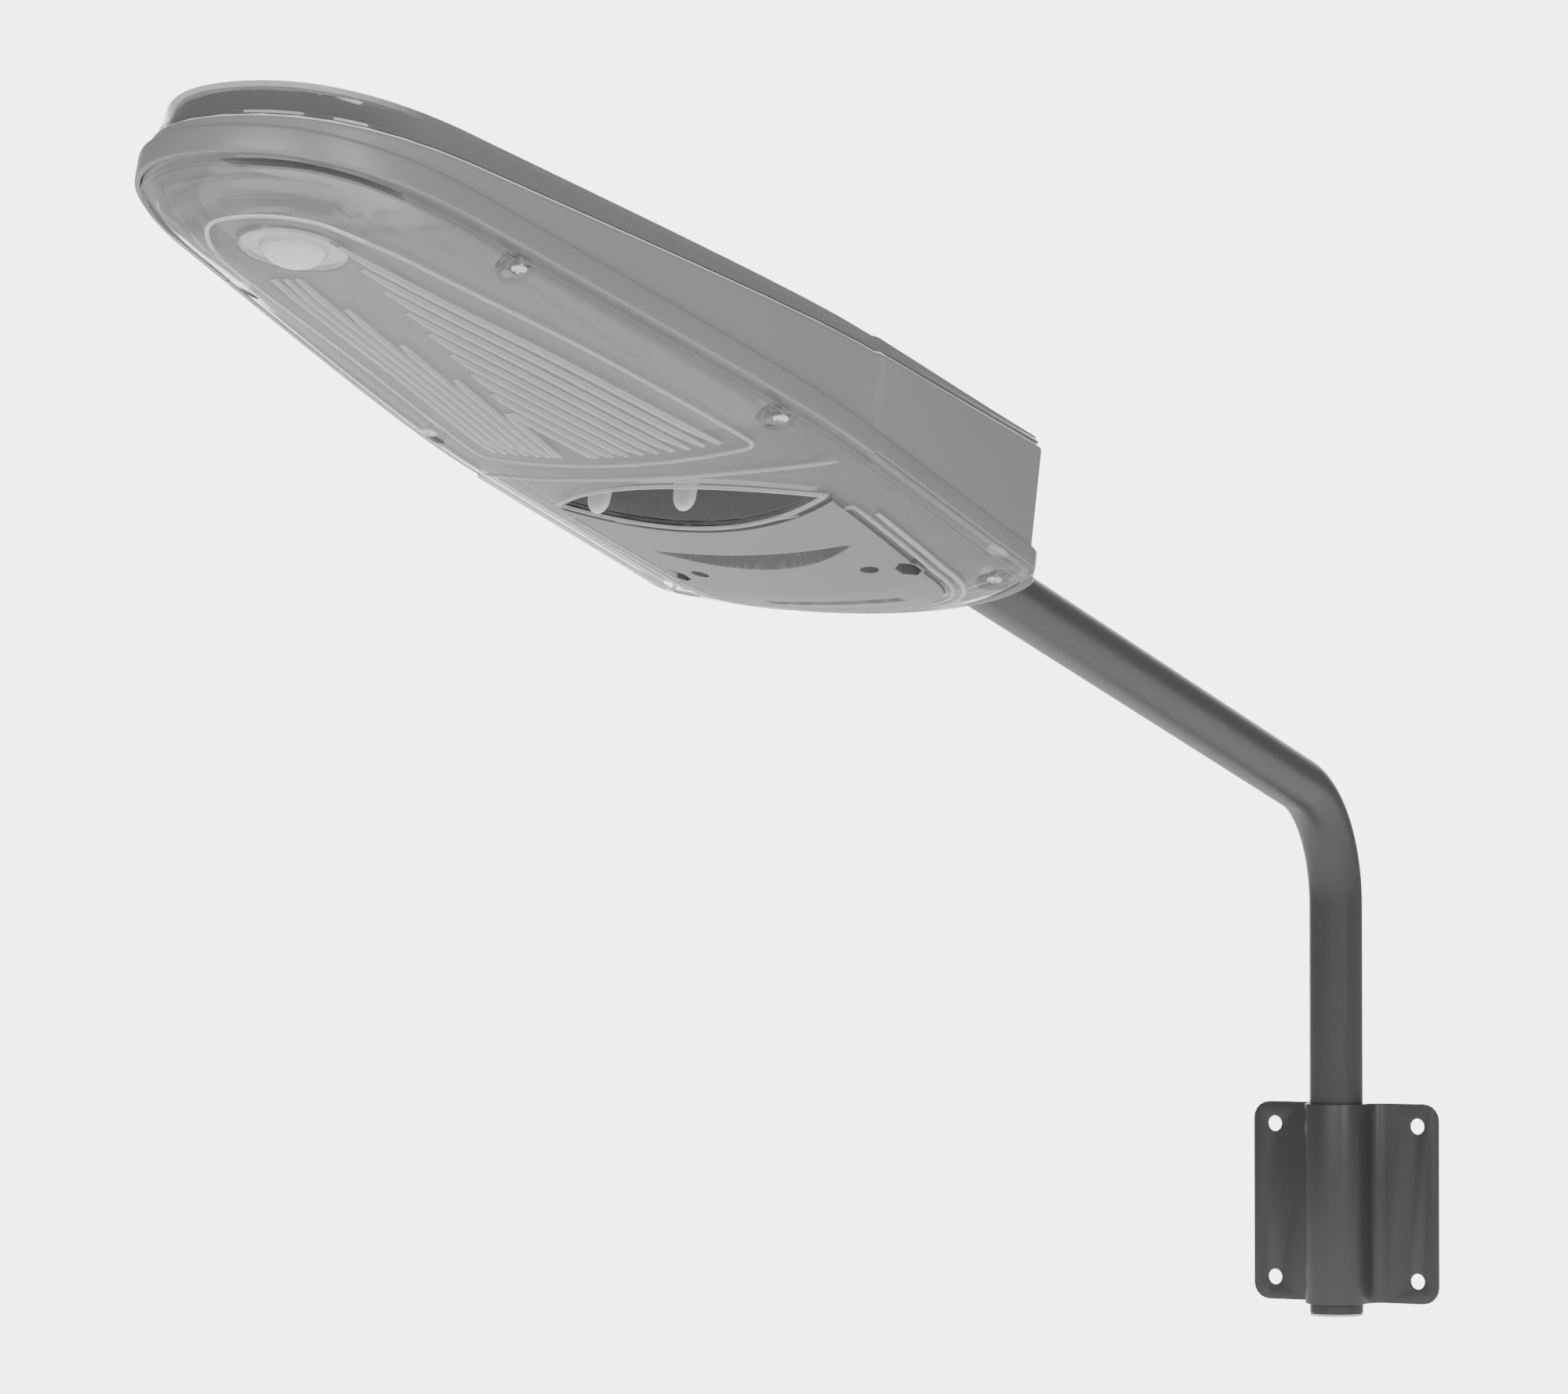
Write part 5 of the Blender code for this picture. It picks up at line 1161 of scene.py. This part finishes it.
def outer_loops():
    flange = [
        ring(lens_edge, FLANGE_TOP),
        ring(lens_edge, FLANGE_BOTTOM + 0.0006),
        ring(edge_plus(0.0002), FLANGE_BOTTOM + 0.0002),
        ring(edge_plus(0.0007), FLANGE_BOTTOM),
        ring(0.0052, FLANGE_BOTTOM),
        ring(0.0055, FLANGE_BOTTOM - 0.0007),
        ring(0.0061, FLANGE_BOTTOM - 0.0009),
        ring(0.0067, FLANGE_BOTTOM - 0.0007),
        ring(0.0070, FLANGE_BOTTOM),
        ring(0.0088, FLANGE_BOTTOM),
        ring(0.0094, FLANGE_BOTTOM - 0.0004),
        ring(0.0112, -0.0062),
        ring(0.0118, -0.0067),
    ]
    insets = (0.0178, 0.0190, 0.0205, 0.0220, 0.0245, 0.0275, 0.0300, 0.0320, 0.0345, 0.0370)
    insets += (0.042, 0.050, 0.060, 0.071, 0.082, 0.093, 0.104)
    return flange + [leaf(i, lambda x, y, i=i: belly(x, y, i)) for i in insets]


lens = loft("clear_lens", inner_loops() + outer_loops(), angle=32)
for x, y in boss_places():
    centre = (x - math.copysign(POCKET_FLOOR_SHIFT, x), y)
    floor_block = rod("pocket_floor", POCKET_FLOOR_RADIUS, FLANGE_BOTTOM - 0.0022, FLANGE_TOP - GAP, centre)
    carve(lens, floor_block, "UNION")
for x, y in boss_places():
    carve(lens, rod("pocket", POCKET_RADIUS, -0.04, POCKET_SEAT, (x, y)))
carve(lens, rod("sensor_window", SENSOR_BOSS_RADIUS - 0.001, -0.05, 0.0, (0.0, SENSOR_Y), 64))
print("lens faces:", len(lens.data.polygons))

# %% [markdown]
# The sensor's ring boss is spun from its section: a skirt through the belly, a rounded shoulder, and a shallow
# dish that leads the eye to the sensor. It overlaps the lens wall, as the two are one moulding.

# %% Sensor boss
BOSS_FACE = -0.0180
BOSS_FOOT = -0.0090
boss_profile = [
    (SENSOR_RADIUS + GAP, BOSS_FACE + 0.0012),
    (SENSOR_RADIUS + 0.0018, BOSS_FACE + 0.0004),
    (SENSOR_RADIUS + 0.0048, BOSS_FACE + 0.0009),
    (SENSOR_RADIUS + 0.0062, BOSS_FACE + 0.0002),
    (SENSOR_BOSS_RADIUS - 0.0040, BOSS_FACE),
    (SENSOR_BOSS_RADIUS - 0.0016, BOSS_FACE + 0.0004),
    (SENSOR_BOSS_RADIUS - 0.0004, BOSS_FACE + 0.0014),
    (SENSOR_BOSS_RADIUS, BOSS_FACE + 0.0030),
    (SENSOR_BOSS_RADIUS, BOSS_FOOT),
    (SENSOR_BOSS_RADIUS - 0.0022, BOSS_FOOT),
    (SENSOR_BOSS_RADIUS - 0.0022, BOSS_FACE + 0.0026),
    (SENSOR_RADIUS + GAP, BOSS_FACE + 0.0026),
]
boss_ring = spun("sensor_boss", boss_profile, 72)
placed(boss_ring, head_frame @ Matrix.Translation((0.0, SENSOR_Y, 0.0)))
stands_for(boss_ring, "head", "clear_plastic", rib_clear)

# %% [markdown]
# ## Openings in the lens
# The battery cover's edge is concave in front and rounded behind. The window in front of it is a pointed oval,
# like an eye. Both are drawn as outlines with one number that makes them a little larger, which is how a real
# cover gets its running gap.

# %% Cover and window outlines
COVER_HALF_WIDTH = 0.075
COVER_FRONT = -0.208
COVER_FRONT_SWEEP = 0.022
COVER_REAR = -0.031
COVER_REAR_HALF_WIDTH = 0.069
COVER_REAR_CURVE = 0.062
COVER_CLEARANCE = 0.0006
EYE_HALF_WIDTH = 0.071
EYE_CORNER = -0.2135
EYE_FRONT_SWEEP = 0.038
EYE_STRIP = 0.006


def cover_half():
    sweep = (COVER_HALF_WIDTH**2 + COVER_FRONT_SWEEP**2) / (2 * COVER_FRONT_SWEEP)
    centre = COVER_FRONT + COVER_FRONT_SWEEP - sweep
    turn = math.asin(COVER_HALF_WIDTH / sweep)
    half = arc((0.0, centre), sweep, math.pi / 2, math.pi / 2 - turn, 16)
    rear_start = COVER_REAR - COVER_REAR_CURVE
    for i in range(1, 8):
        share = i / 8
        x = COVER_HALF_WIDTH + (COVER_REAR_HALF_WIDTH - COVER_HALF_WIDTH) * share**1.4
        half.append((x, COVER_FRONT + (rear_start - COVER_FRONT) * share))
    steps = 24
    for i in range(steps + 1):
        a = math.pi / 2 * i / steps
        x = COVER_REAR_HALF_WIDTH * math.cos(a) ** 0.75 if i < steps else 0.0
        half.append((x, rear_start + COVER_REAR_CURVE * math.sin(a) ** 0.85))
    return half


def cover_outline(amount):
    return grown(both_sides(cover_half()), amount)


def eye_outline(amount, steps=20):
    reach = EYE_HALF_WIDTH + 1.6 * amount
    front_sweep = EYE_FRONT_SWEEP + amount
    rear_sweep = COVER_FRONT + COVER_FRONT_SWEEP - EYE_STRIP - EYE_CORNER + amount
    half = []
    for i in range(steps + 1):
        x = reach * math.sin(math.pi / 2 * i / steps)
        half.append((x, EYE_CORNER - front_sweep * (1 - (x / reach) ** 2)))
    for i in range(1, steps + 1):
        x = reach * math.cos(math.pi / 2 * i / steps) if i < steps else 0.0
        half.append((x, EYE_CORNER + rear_sweep * (1 - (x / reach) ** 2)))
    return both_sides(half)


carve(lens, prism("battery_opening", cover_outline(COVER_CLEARANCE), -0.05, FLANGE_TOP - GAP))
carve(lens, prism("eye_opening", eye_outline(0.0), -0.05, FLANGE_TOP - GAP))
choose(lens)
bpy.ops.object.shade_smooth_by_angle(angle=math.radians(32))
placed(lens, head_frame)
stands_for(lens, "head", "clear_plastic", lens_clear, "lens_cover")

# %% [markdown]
# ## Ribs and beads
# Two fans of straight ribs spread the light across the street, with a smooth triangle between them. Beads frame
# the rib field, the eye and the battery opening. Each one is a short rounded section carried along a path on the
# crowned surface.

# %% Ribs and beads
RIB_WIDTH = 0.0036
RIB_HEIGHT = 0.0021
RIB_SLOPE = 0.13
RIB_END = -0.298
# Places across a ridge, as shares of its width, with their depths as shares of its height.
RIDGE_SECTION = ((-0.5, -0.35), (-0.40, 0.45), (-0.18, 0.92), (0.18, 0.92), (0.40, 0.45), (0.5, -0.35))


def ridge(name, path, width, height, closed=False):
    """A rounded ridge that hangs from the crowned surface along a path of (x, y)."""
    count = len(path)
    loops = []
    for i, (x, y) in enumerate(path):
        ahead = Vector(path[(i + 1) % count] if closed or i < count - 1 else path[i])
        behind = Vector(path[i - 1] if closed or i > 0 else path[i])
        along = (ahead - behind).normalized()
        side = Vector((along.y, -along.x))
        taper = 1.0 if closed or 0 < i < count - 1 else 0.25
        loop = []
        for share, drop in RIDGE_SECTION:
            px = x + side.x * share * width
            py = y + side.y * share * width
            loop.append((px, py, belly(px, py) - drop * height * taper))
        loops.append(loop)
    return loft(name, loops, joined=closed, angle=60)


def straight(start, end, steps=12):
    return [tuple(Vector(start).lerp(Vector(end), i / steps)) for i in range(steps + 1)]


def right_rib(end_x):
    """A rib of the right fan: it starts on the fan's slanting front edge."""
    start_y = -0.377 - 3.28 * end_x
    return straight((end_x + RIB_SLOPE * (start_y - RIB_END), start_y), (end_x, RIB_END))


def left_rib(end_x):
    start_y = max(RIB_END + (end_x + 0.016) / RIB_SLOPE, -0.546)
    return straight((end_x - RIB_SLOPE * (start_y - RIB_END), start_y), (end_x, RIB_END))


ribs = [ridge("rib", right_rib(0.0615 - 0.0082 * i), RIB_WIDTH, RIB_HEIGHT) for i in range(9)]
ribs += [ridge("rib", left_rib(-0.0245 - 0.0062 * i), RIB_WIDTH, RIB_HEIGHT) for i in range(7)]
print("ribs:", len(ribs))

FIELD_INSET = 0.034
FIELD_REAR = -0.286


def field_border():
    """A closed path round the rib field, parallel to the flanks and square across the rear."""
    forward = [(p[0], p[1]) for p in ring(FIELD_INSET, 0.0) if p[1] < FIELD_REAR]
    right = [p for p in forward if p[0] >= 0]
    left = [p for p in forward if p[0] < 0]
    corner_x = right[-1][0]
    rounding = arc((corner_x - 0.006, FIELD_REAR - 0.006), 0.006, 0.0, math.pi / 2, 5)
    rounding_left = [(-x, y) for x, y in reversed(rounding)]
    right = [p for p in right if p[1] < FIELD_REAR - 0.008]
    left = [p for p in left if p[1] < FIELD_REAR - 0.008]
    rear = straight((corner_x - 0.008, FIELD_REAR), (0.008 - corner_x, FIELD_REAR), 14)
    return right + rounding + rear + rounding_left + left


def front_arc():
    """The long bead in front of the eye, from flank to flank."""
    return [(0.098 * i / 20, -0.248 - 0.018 * (1 - (i / 20) ** 2)) for i in range(-20, 21)]


def behind(outline, limit):
    """The part of a closed outline that lies behind a limit, as one path from right to left."""
    return [p for p in outline if p[1] > limit]


beads = [
    ridge("bead", field_border(), 0.0022, 0.0009, closed=True),
    ridge("bead", front_arc(), 0.0022, 0.0010),
    ridge("bead", eye_outline(0.0022), 0.0030, 0.0012, closed=True),
    ridge("bead", behind(cover_outline(0.0045), -0.196), 0.0020, 0.0012),
    ridge("bead", behind(cover_outline(0.0100), -0.190), 0.0026, 0.0012),
]
lens_relief = joined("lens_ribs", ribs + beads)
placed(lens_relief, head_frame)
stands_for(lens_relief, "head", "clear_plastic", rib_clear)

# %% [markdown]
# ## The battery cover
# The cover is a thin crowned shell. A crescent scoop gives a finger something to pull, two wells take the
# captive screws, two notches at its sides meet the catches, and a shallow recess is left plain. Its surface is
# one height function, and the scoop is part of that function, so it blends in smoothly.

# %% Battery cover
SCOOP_HALF_WIDTH = 0.056
SCOOP_FRONT = -0.150
SCOOP_REACH = 0.024
SCOOP_DEPTH = 0.0100
COVER_SCREW_X = 0.048
COVER_SCREW_Y = -0.113
COVER_WELL_RADIUS = 0.0048
COVER_WELL_DEPTH = 0.0037
COVER_GRID = 0.0010
NOTCH_X = COVER_REAR_HALF_WIDTH - 0.0035
NOTCH_Y = COVER_SCREW_Y + 0.008
NOTCH_HALF_LENGTH = 0.010
NOTCH_HALF_WIDTH = 0.0055
NOTCH_DEPTH = 0.0062
NOTCH_WALL = 0.0012


def scoop(x, y):
    """Depth of the crescent: a soft edge in front, a crisp curved edge behind."""
    share = 1 - (x / SCOOP_HALF_WIDTH) ** 2
    if share <= 0:
        return 0.0
    front = SCOOP_FRONT - 0.001 * share
    rear = SCOOP_FRONT + SCOOP_REACH * share
    if not front < y < rear + 0.001:
        return 0.0
    along = (y - front) / max(rear - front, 1e-6)
    edge = 1 - min((rear - front) / SCOOP_REACH, 1.0) * 0.12
    fall = smooth_share(along, 0.85) if along < edge else 1 - smooth_share(along - edge, 1.0 - edge)
    return SCOOP_DEPTH * share**0.7 * fall


def badge(x, y):
    """Depth of the plain recess near the rear."""
    u = x / 0.039
    v = (y - (COVER_REAR - 0.027)) / (0.0075 * max(1 - 0.35 * u * u, 0.2))
    return 0.0018 * (1 - smooth_share(abs(u) - 0.96, 0.05)) * (1 - smooth_share(abs(v) - 0.90, 0.12))


def cover_sheet(name):
    """A fine grid bent to the crown, given its thickness by Solidify, and trimmed to the outline."""
    low_x, high_x = -COVER_HALF_WIDTH - 0.004, COVER_HALF_WIDTH + 0.004
    low_y, high_y = COVER_FRONT - 0.004, COVER_REAR + 0.004
    across = int((high_x - low_x) / COVER_GRID)
    along = int((high_y - low_y) / COVER_GRID)
    bpy.ops.object.select_all(action="DESELECT")
    bpy.ops.mesh.primitive_grid_add(x_subdivisions=across, y_subdivisions=along, size=1.0, location=(0, 0, 0))
    sheet = bpy.context.object
    sheet.name = name
    for vert in sheet.data.vertices:
        x = (low_x + high_x) / 2 + vert.co.x * (high_x - low_x)
        y = (low_y + high_y) / 2 + vert.co.y * (high_y - low_y)
        vert.co = (x, y, belly(x, y) - 0.0012 + scoop(x, y) + badge(x, y))
    modifier = sheet.modifiers.new("thickness", "SOLIDIFY")
    modifier.thickness = 0.0026
    modifier.offset = 1.0
    choose(sheet)
    bpy.ops.object.modifier_apply(modifier="thickness")
    return sheet


cover = cover_sheet("battery_lid")
carve(cover, prism("lid_outline", cover_outline(0.0), -0.05, 0.05), "INTERSECT")
for side in (-1, 1):
    x = side * COVER_SCREW_X
    height = belly(x, COVER_SCREW_Y)
    seat = height + COVER_WELL_DEPTH
    centre = (x, COVER_SCREW_Y)
    carve(cover, rod("well", COVER_WELL_RADIUS + 0.0012, height - 0.0002, seat + 0.0015, centre), "UNION")
    carve(cover, rod("well_bore", COVER_WELL_RADIUS, -0.05, seat, centre))
    carve(cover, rod("well_hole", 0.0024, seat - 0.001, seat + 0.003, centre, 24))


def notch_outline(side):
    """A six-sided notch near the cover's side."""
    x = side * NOTCH_X
    corner = NOTCH_HALF_LENGTH * 0.45
    front = [(x - NOTCH_HALF_WIDTH, NOTCH_Y - corner), (x, NOTCH_Y - NOTCH_HALF_LENGTH)]
    front.append((x + NOTCH_HALF_WIDTH, NOTCH_Y - corner))
    rear = [(x + NOTCH_HALF_WIDTH, NOTCH_Y + corner), (x, NOTCH_Y + NOTCH_HALF_LENGTH)]
    rear.append((x - NOTCH_HALF_WIDTH, NOTCH_Y + corner))
    return front + rear


for side in (-1, 1):
    low = belly(side * NOTCH_X, NOTCH_Y)
    block_outline = grown(notch_outline(side), NOTCH_WALL * side)
    carve(cover, prism("notch_block", block_outline, low - 0.0006, low + NOTCH_DEPTH + 0.0013), "UNION")
    carve(cover, prism("notch", notch_outline(side), -0.05, low + NOTCH_DEPTH))
soften(cover, 0.0004, 55)


def in_shaded_pocket(c, _):
    """Whether a face lies inside a screw well or a notch, where shade is painted in dark grey."""
    well = math.hypot(abs(c.x) - COVER_SCREW_X, c.y - COVER_SCREW_Y) < COVER_WELL_RADIUS + 0.0001
    beside_notch = abs(abs(c.x) - NOTCH_X) < NOTCH_HALF_WIDTH + 0.0001
    notch = beside_notch and abs(c.y - NOTCH_Y) < NOTCH_HALF_LENGTH + 0.0001
    return (well or notch) and c.z > belly(c.x, c.y) - 0.0008


# The insides of the screw wells and notches get the dark grey finish as painted shade for their depth.
cover.data.materials.append(cover_grey)
painted_shade_faces = paint_faces(cover, dark, in_shaded_pocket)
placed(cover, head_frame)
bpy.ops.object.shade_smooth_by_angle(angle=math.radians(40))
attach(cover, "battery_door")
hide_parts("battery_cover")
print("pocket faces:", painted_shade_faces)

# %% [markdown]
# ## Screws
# All the small screws are the same pan-head pattern, so one is modelled and copied. The head is spun, and the
# cross recess is carved with two tapered blades. Only its size changes from place to place.

# %% Screws


def pan_head_screw():
    """A screw of unit head radius that points up, with its head's underside at Z = 0."""
    profile = [(0.0, -0.58), (0.35, -0.57), (0.66, -0.50), (0.88, -0.36), (0.98, -0.18), (1.0, 0.0)]
    profile += [(0.44, 0.0), (0.44, 2.3), (0.30, 2.5), (0.0, 2.5)]
    screw = spun("pan_screw", profile, 40)
    for turn in (0.0, math.pi / 2):
        bpy.ops.object.select_all(action="DESELECT")
        bpy.ops.mesh.primitive_cube_add(size=1.0, location=(0, 0, 0))
        blade = bpy.context.object
        for vert in blade.data.vertices:
            deep = vert.co.z > 0
            reach = 0.34 if deep else 0.60
            width = 0.10 if deep else 0.17
            height = -0.12 if deep else -0.70
            vert.co = (math.copysign(reach, vert.co.x), math.copysign(width, vert.co.y), height)
        blade.rotation_euler.z = turn
        carve(screw, blade)
    choose(screw)
    bpy.ops.object.shade_smooth_by_angle(angle=math.radians(40))
    return screw


pattern = pan_head_screw()


def put_screw(name, node, body, place, radius, frame_matrix, turn):
    screw = copied(pattern, name)
    spin = Matrix.Rotation(turn, 4, "Z")
    placed(screw, frame_matrix @ Matrix.Translation(place) @ spin @ Matrix.Scale(radius, 4))
    return stands_for(screw, body, "zinc_steel", zinc, node)


for number, (x, y) in enumerate(boss_places(), start=1):
    place = (x, y, POCKET_SEAT - GAP)
    node = "lens_screw_%d" % number
    put_screw("lens_fixing_%d" % number, node, "head", place, 0.0046, head_frame, 0.5 * number)
for number, x in enumerate((-COVER_SCREW_X, COVER_SCREW_X), start=1):
    place = (x, COVER_SCREW_Y, belly(x, COVER_SCREW_Y) + COVER_WELL_DEPTH - GAP)
    node = "cover_screw_%d" % number
    put_screw("lid_fixing_%d" % number, node, "battery_door", place, 0.0040, head_frame, 0.3 * number)
bpy.data.objects.remove(pattern, do_unlink=True)
print("screws placed")

# %% [markdown]
# ## Motion sensor
# The white dome is thin plastic moulded inside with rings of tiny lenses. From outside they show as a faint
# honeycomb. The dome is spun from a quarter arc, and the honeycomb is bump only, since it lies on the inside.

# %% Sensor dome
DOME_DROP = 0.0098
dome_turns = [math.pi / 28 * i for i in range(14)]
dome_arc = [(SENSOR_RADIUS * math.sin(a), -DOME_DROP * math.cos(a)) for a in dome_turns]
dome_inside = [(r * 0.93, z * 0.92) for r, z in reversed(dome_arc)]
dome_profile = dome_arc + [(SENSOR_RADIUS, 0.0), (SENSOR_RADIUS + 0.003, 0.0004)]
dome_profile += [(SENSOR_RADIUS + 0.003, 0.0016), (SENSOR_RADIUS - 0.001, 0.0016)] + dome_inside


def sensor_plastic():
    finish = Finish("sensor_plastic", (0.87, 0.86, 0.84), 0.32, Subsurface_Weight=0.4)
    finish.shader.inputs["Subsurface Radius"].default_value = (0.003, 0.003, 0.003)
    comb = finish.node("TexVoronoi", {"feature": "DISTANCE_TO_EDGE"}, Scale=230.0, Vector=finish.place())
    edge = finish.range(comb, 0.0, 0.10)
    finish.feed("Base Color", finish.tint(edge, (0.74, 0.73, 0.71), (0.90, 0.89, 0.87)))
    finish.bump(edge, 0.12, 0.0003)
    return finish.material


sensor = spun("sensor_lens", dome_profile, 56, 60)
sensor_seat = head_frame @ Matrix.Translation((0.0, SENSOR_Y, BOSS_FACE + 0.0030))
placed(sensor, sensor_seat)
stands_for(sensor, "head", "pale_plastic", sensor_plastic(), "sensor_dome")

# %% [markdown]
# ## Switch levers
# Two toggles under soft white boots hang into the eye-shaped window. A boot is a flat tongue with a full round
# end. It is lofted across its thickness, and each lever rides on its own body, because each one tilts.

# %% Levers
LEVER_WIDTH = 0.0135
LEVER_LENGTH = 0.0270
LEVER_THICKNESS = 0.0056


def tongue(name):
    """One booted lever that hangs from the origin."""
    half = LEVER_WIDTH / 2
    straight_part = LEVER_LENGTH - half
    face = arc((0.0, -straight_part), half, -math.pi, 0.0, 18)
    face = [(x * 0.82, z) for x, z in face]
    face += [(half * 0.93, -straight_part * 0.5), (half, 0.0), (half, 0.002)]
    face += [(-half, 0.002), (-half, 0.0), (-half * 0.93, -straight_part * 0.5)]
    loops = []
    for i in range(13):
        a = math.pi * i / 12
        depth = -math.cos(a) * LEVER_THICKNESS / 2
        inset = half * 0.26 * (1 - math.sin(a) ** 0.6)
        shrink = 1 - inset / half
        loops.append([(x * shrink, depth, min(z * shrink, 0.002)) for x, z in face])
    return loft(name, loops, angle=60)


lever_pattern = tongue("lever_pattern")
for number, side in enumerate(("left", "right"), start=1):
    lever = copied(lever_pattern, "booted_lever_%d" % number)
    pivot = Vector(joints[side + "_switch_tilt"]["pos_m"])
    placed(lever, Matrix.Translation(pivot) @ Matrix.Rotation(-head_tilt, 4, "X"))
    stands_for(lever, side + "_switch", "frosted_silicone", silicone, "switch_lever_%d" % number)
bpy.data.objects.remove(lever_pattern, do_unlink=True)

# %% [markdown]
# ## Lights
# Each light board carries rows of small chips: a white square package with a yellow face. One chip is modelled
# by insetting a low block's face, and copied along the board.

# %% Light chips
CHIP_SIZE = 0.0050
CHIP_HEIGHT = 0.0012
CHIPS_PER_ROW = 6


def chip_pattern():
    bpy.ops.object.select_all(action="DESELECT")
    bpy.ops.mesh.primitive_cube_add(size=1.0, location=(0, 0, 0), scale=(CHIP_SIZE, CHIP_SIZE, CHIP_HEIGHT))
    chip = bpy.context.object
    bpy.ops.object.transform_apply(location=True, rotation=True, scale=True)
    bpy.ops.object.mode_set(mode="EDIT")
    bpy.ops.mesh.select_all(action="DESELECT")
    mesh = bmesh.from_edit_mesh(chip.data)
    for face in mesh.faces:
        face.select_set(face.normal.z < -0.9)
    bmesh.update_edit_mesh(chip.data)
    bpy.ops.mesh.inset(thickness=0.0008, depth=0.0)
    bpy.ops.mesh.inset(thickness=0.0002, depth=-0.0003)
    bpy.ops.object.mode_set(mode="OBJECT")
    chip.data.materials.append(white)
    paint_faces(chip, chip_yellow, lambda c, n: n.z < -0.9 and abs(c.x) < 0.001 and abs(c.y) < 0.001)
    return chip


chip = chip_pattern()
inverse_head = head_frame.inverted()


def board_box(node):
    """A board's corners in the head's frame."""
    corners = [inverse_head @ vert.co for vert in nodes[node].data.vertices]
    low = Vector(min(c[axis] for c in corners) for axis in range(3))
    high = Vector(max(c[axis] for c in corners) for axis in range(3))
    return low, high


for side in ("left", "right"):
    low, high = board_box("led_board_" + side)
    pitch = (high.y - low.y) / CHIPS_PER_ROW
    chips = []
    for row in (0.25, 0.75):
        for i in range(CHIPS_PER_ROW):
            twin = copied(chip, "chip")
            place = (low.x + (high.x - low.x) * row, low.y + pitch * (i + 0.5), low.z - 0.0002)
            placed(twin, head_frame @ Matrix.Translation(place))
            chips.append(twin)
    row_of_chips = joined("light_chips_" + side, chips)
    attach(row_of_chips, "head")
    print(row_of_chips.name, len(row_of_chips.data.polygons))
bpy.data.objects.remove(chip, do_unlink=True)

# %% [markdown]
# ## The reflector
# A pale tray behind the light boards throws stray light back out. It is vacuum formed, so it is a thin sheet
# with a soft edge that follows the head's outline. It stops in front of the window.

# %% Reflector
REFLECTOR_FLOOR = 0.0064
REFLECTOR_SHEET = 0.0010
REFLECTOR_END = -0.266


def reflector_loops():
    top = REFLECTOR_FLOOR + REFLECTOR_SHEET
    under = [(0.0300, 0.0036), (0.0320, 0.0040), (0.0360, 0.0058), (0.0400, REFLECTOR_FLOOR)]
    over = [(0.0410, top), (0.0365, top - 0.0006), (0.0315, 0.0052), (0.0300, 0.0048)]
    return [leaf(inset, lambda x, y, z=z: z) for inset, z in over + under]


tray = loft("reflector_sheet", reflector_loops(), angle=45)
behind_window = [(-0.2, REFLECTOR_END), (0.2, REFLECTOR_END), (0.2, 0.1), (-0.2, 0.1)]
carve(tray, prism("tray_end", behind_window, -0.05, 0.05))
placed(tray, head_frame)
stands_for(tray, "head", "pale_plastic", white, "reflector_tray")

# %% [markdown]
# ## Finishes for the rest
# The pieces that stay as the frame made them get their finishes here: boards, seals, frame, cells, springs,
# leads and clamps. A short table pairs each finish with its pieces.

# %% Dress the frame's pieces


def dress(finish, *names):
    for name in names:
        node = nodes[name]
        node.data.materials.clear()
        node.data.materials.append(finish)


dress(rubber, "cover_seal", "tube_grommet")
dress(silicone, "top_cover_seal", "lens_seal")
dress(dark, "panel_frame", "eye_cup", "battery_tray")
dress(white_board, "led_board_left", "led_board_right")
dress(green_board, "sensor_board", "switch_board", "control_board")
dress(panel_cells, "solar_panel")
dress(sleeve, *["battery_cell_%d" % i for i in range(1, 5)])
dress(zinc, "sensor_can", "contact_plate_front", "contact_plate_rear", "clamp_upper", "clamp_lower")
dress(zinc, "clamp_screw_1", "clamp_screw_2", *["contact_spring_%d" % i for i in range(1, 5)])
dress(red_skin, "light_lead", "battery_lead")
dress(black_skin, "panel_lead")
print("dressed:", sum(1 for node in nodes.values() if node.data.materials))
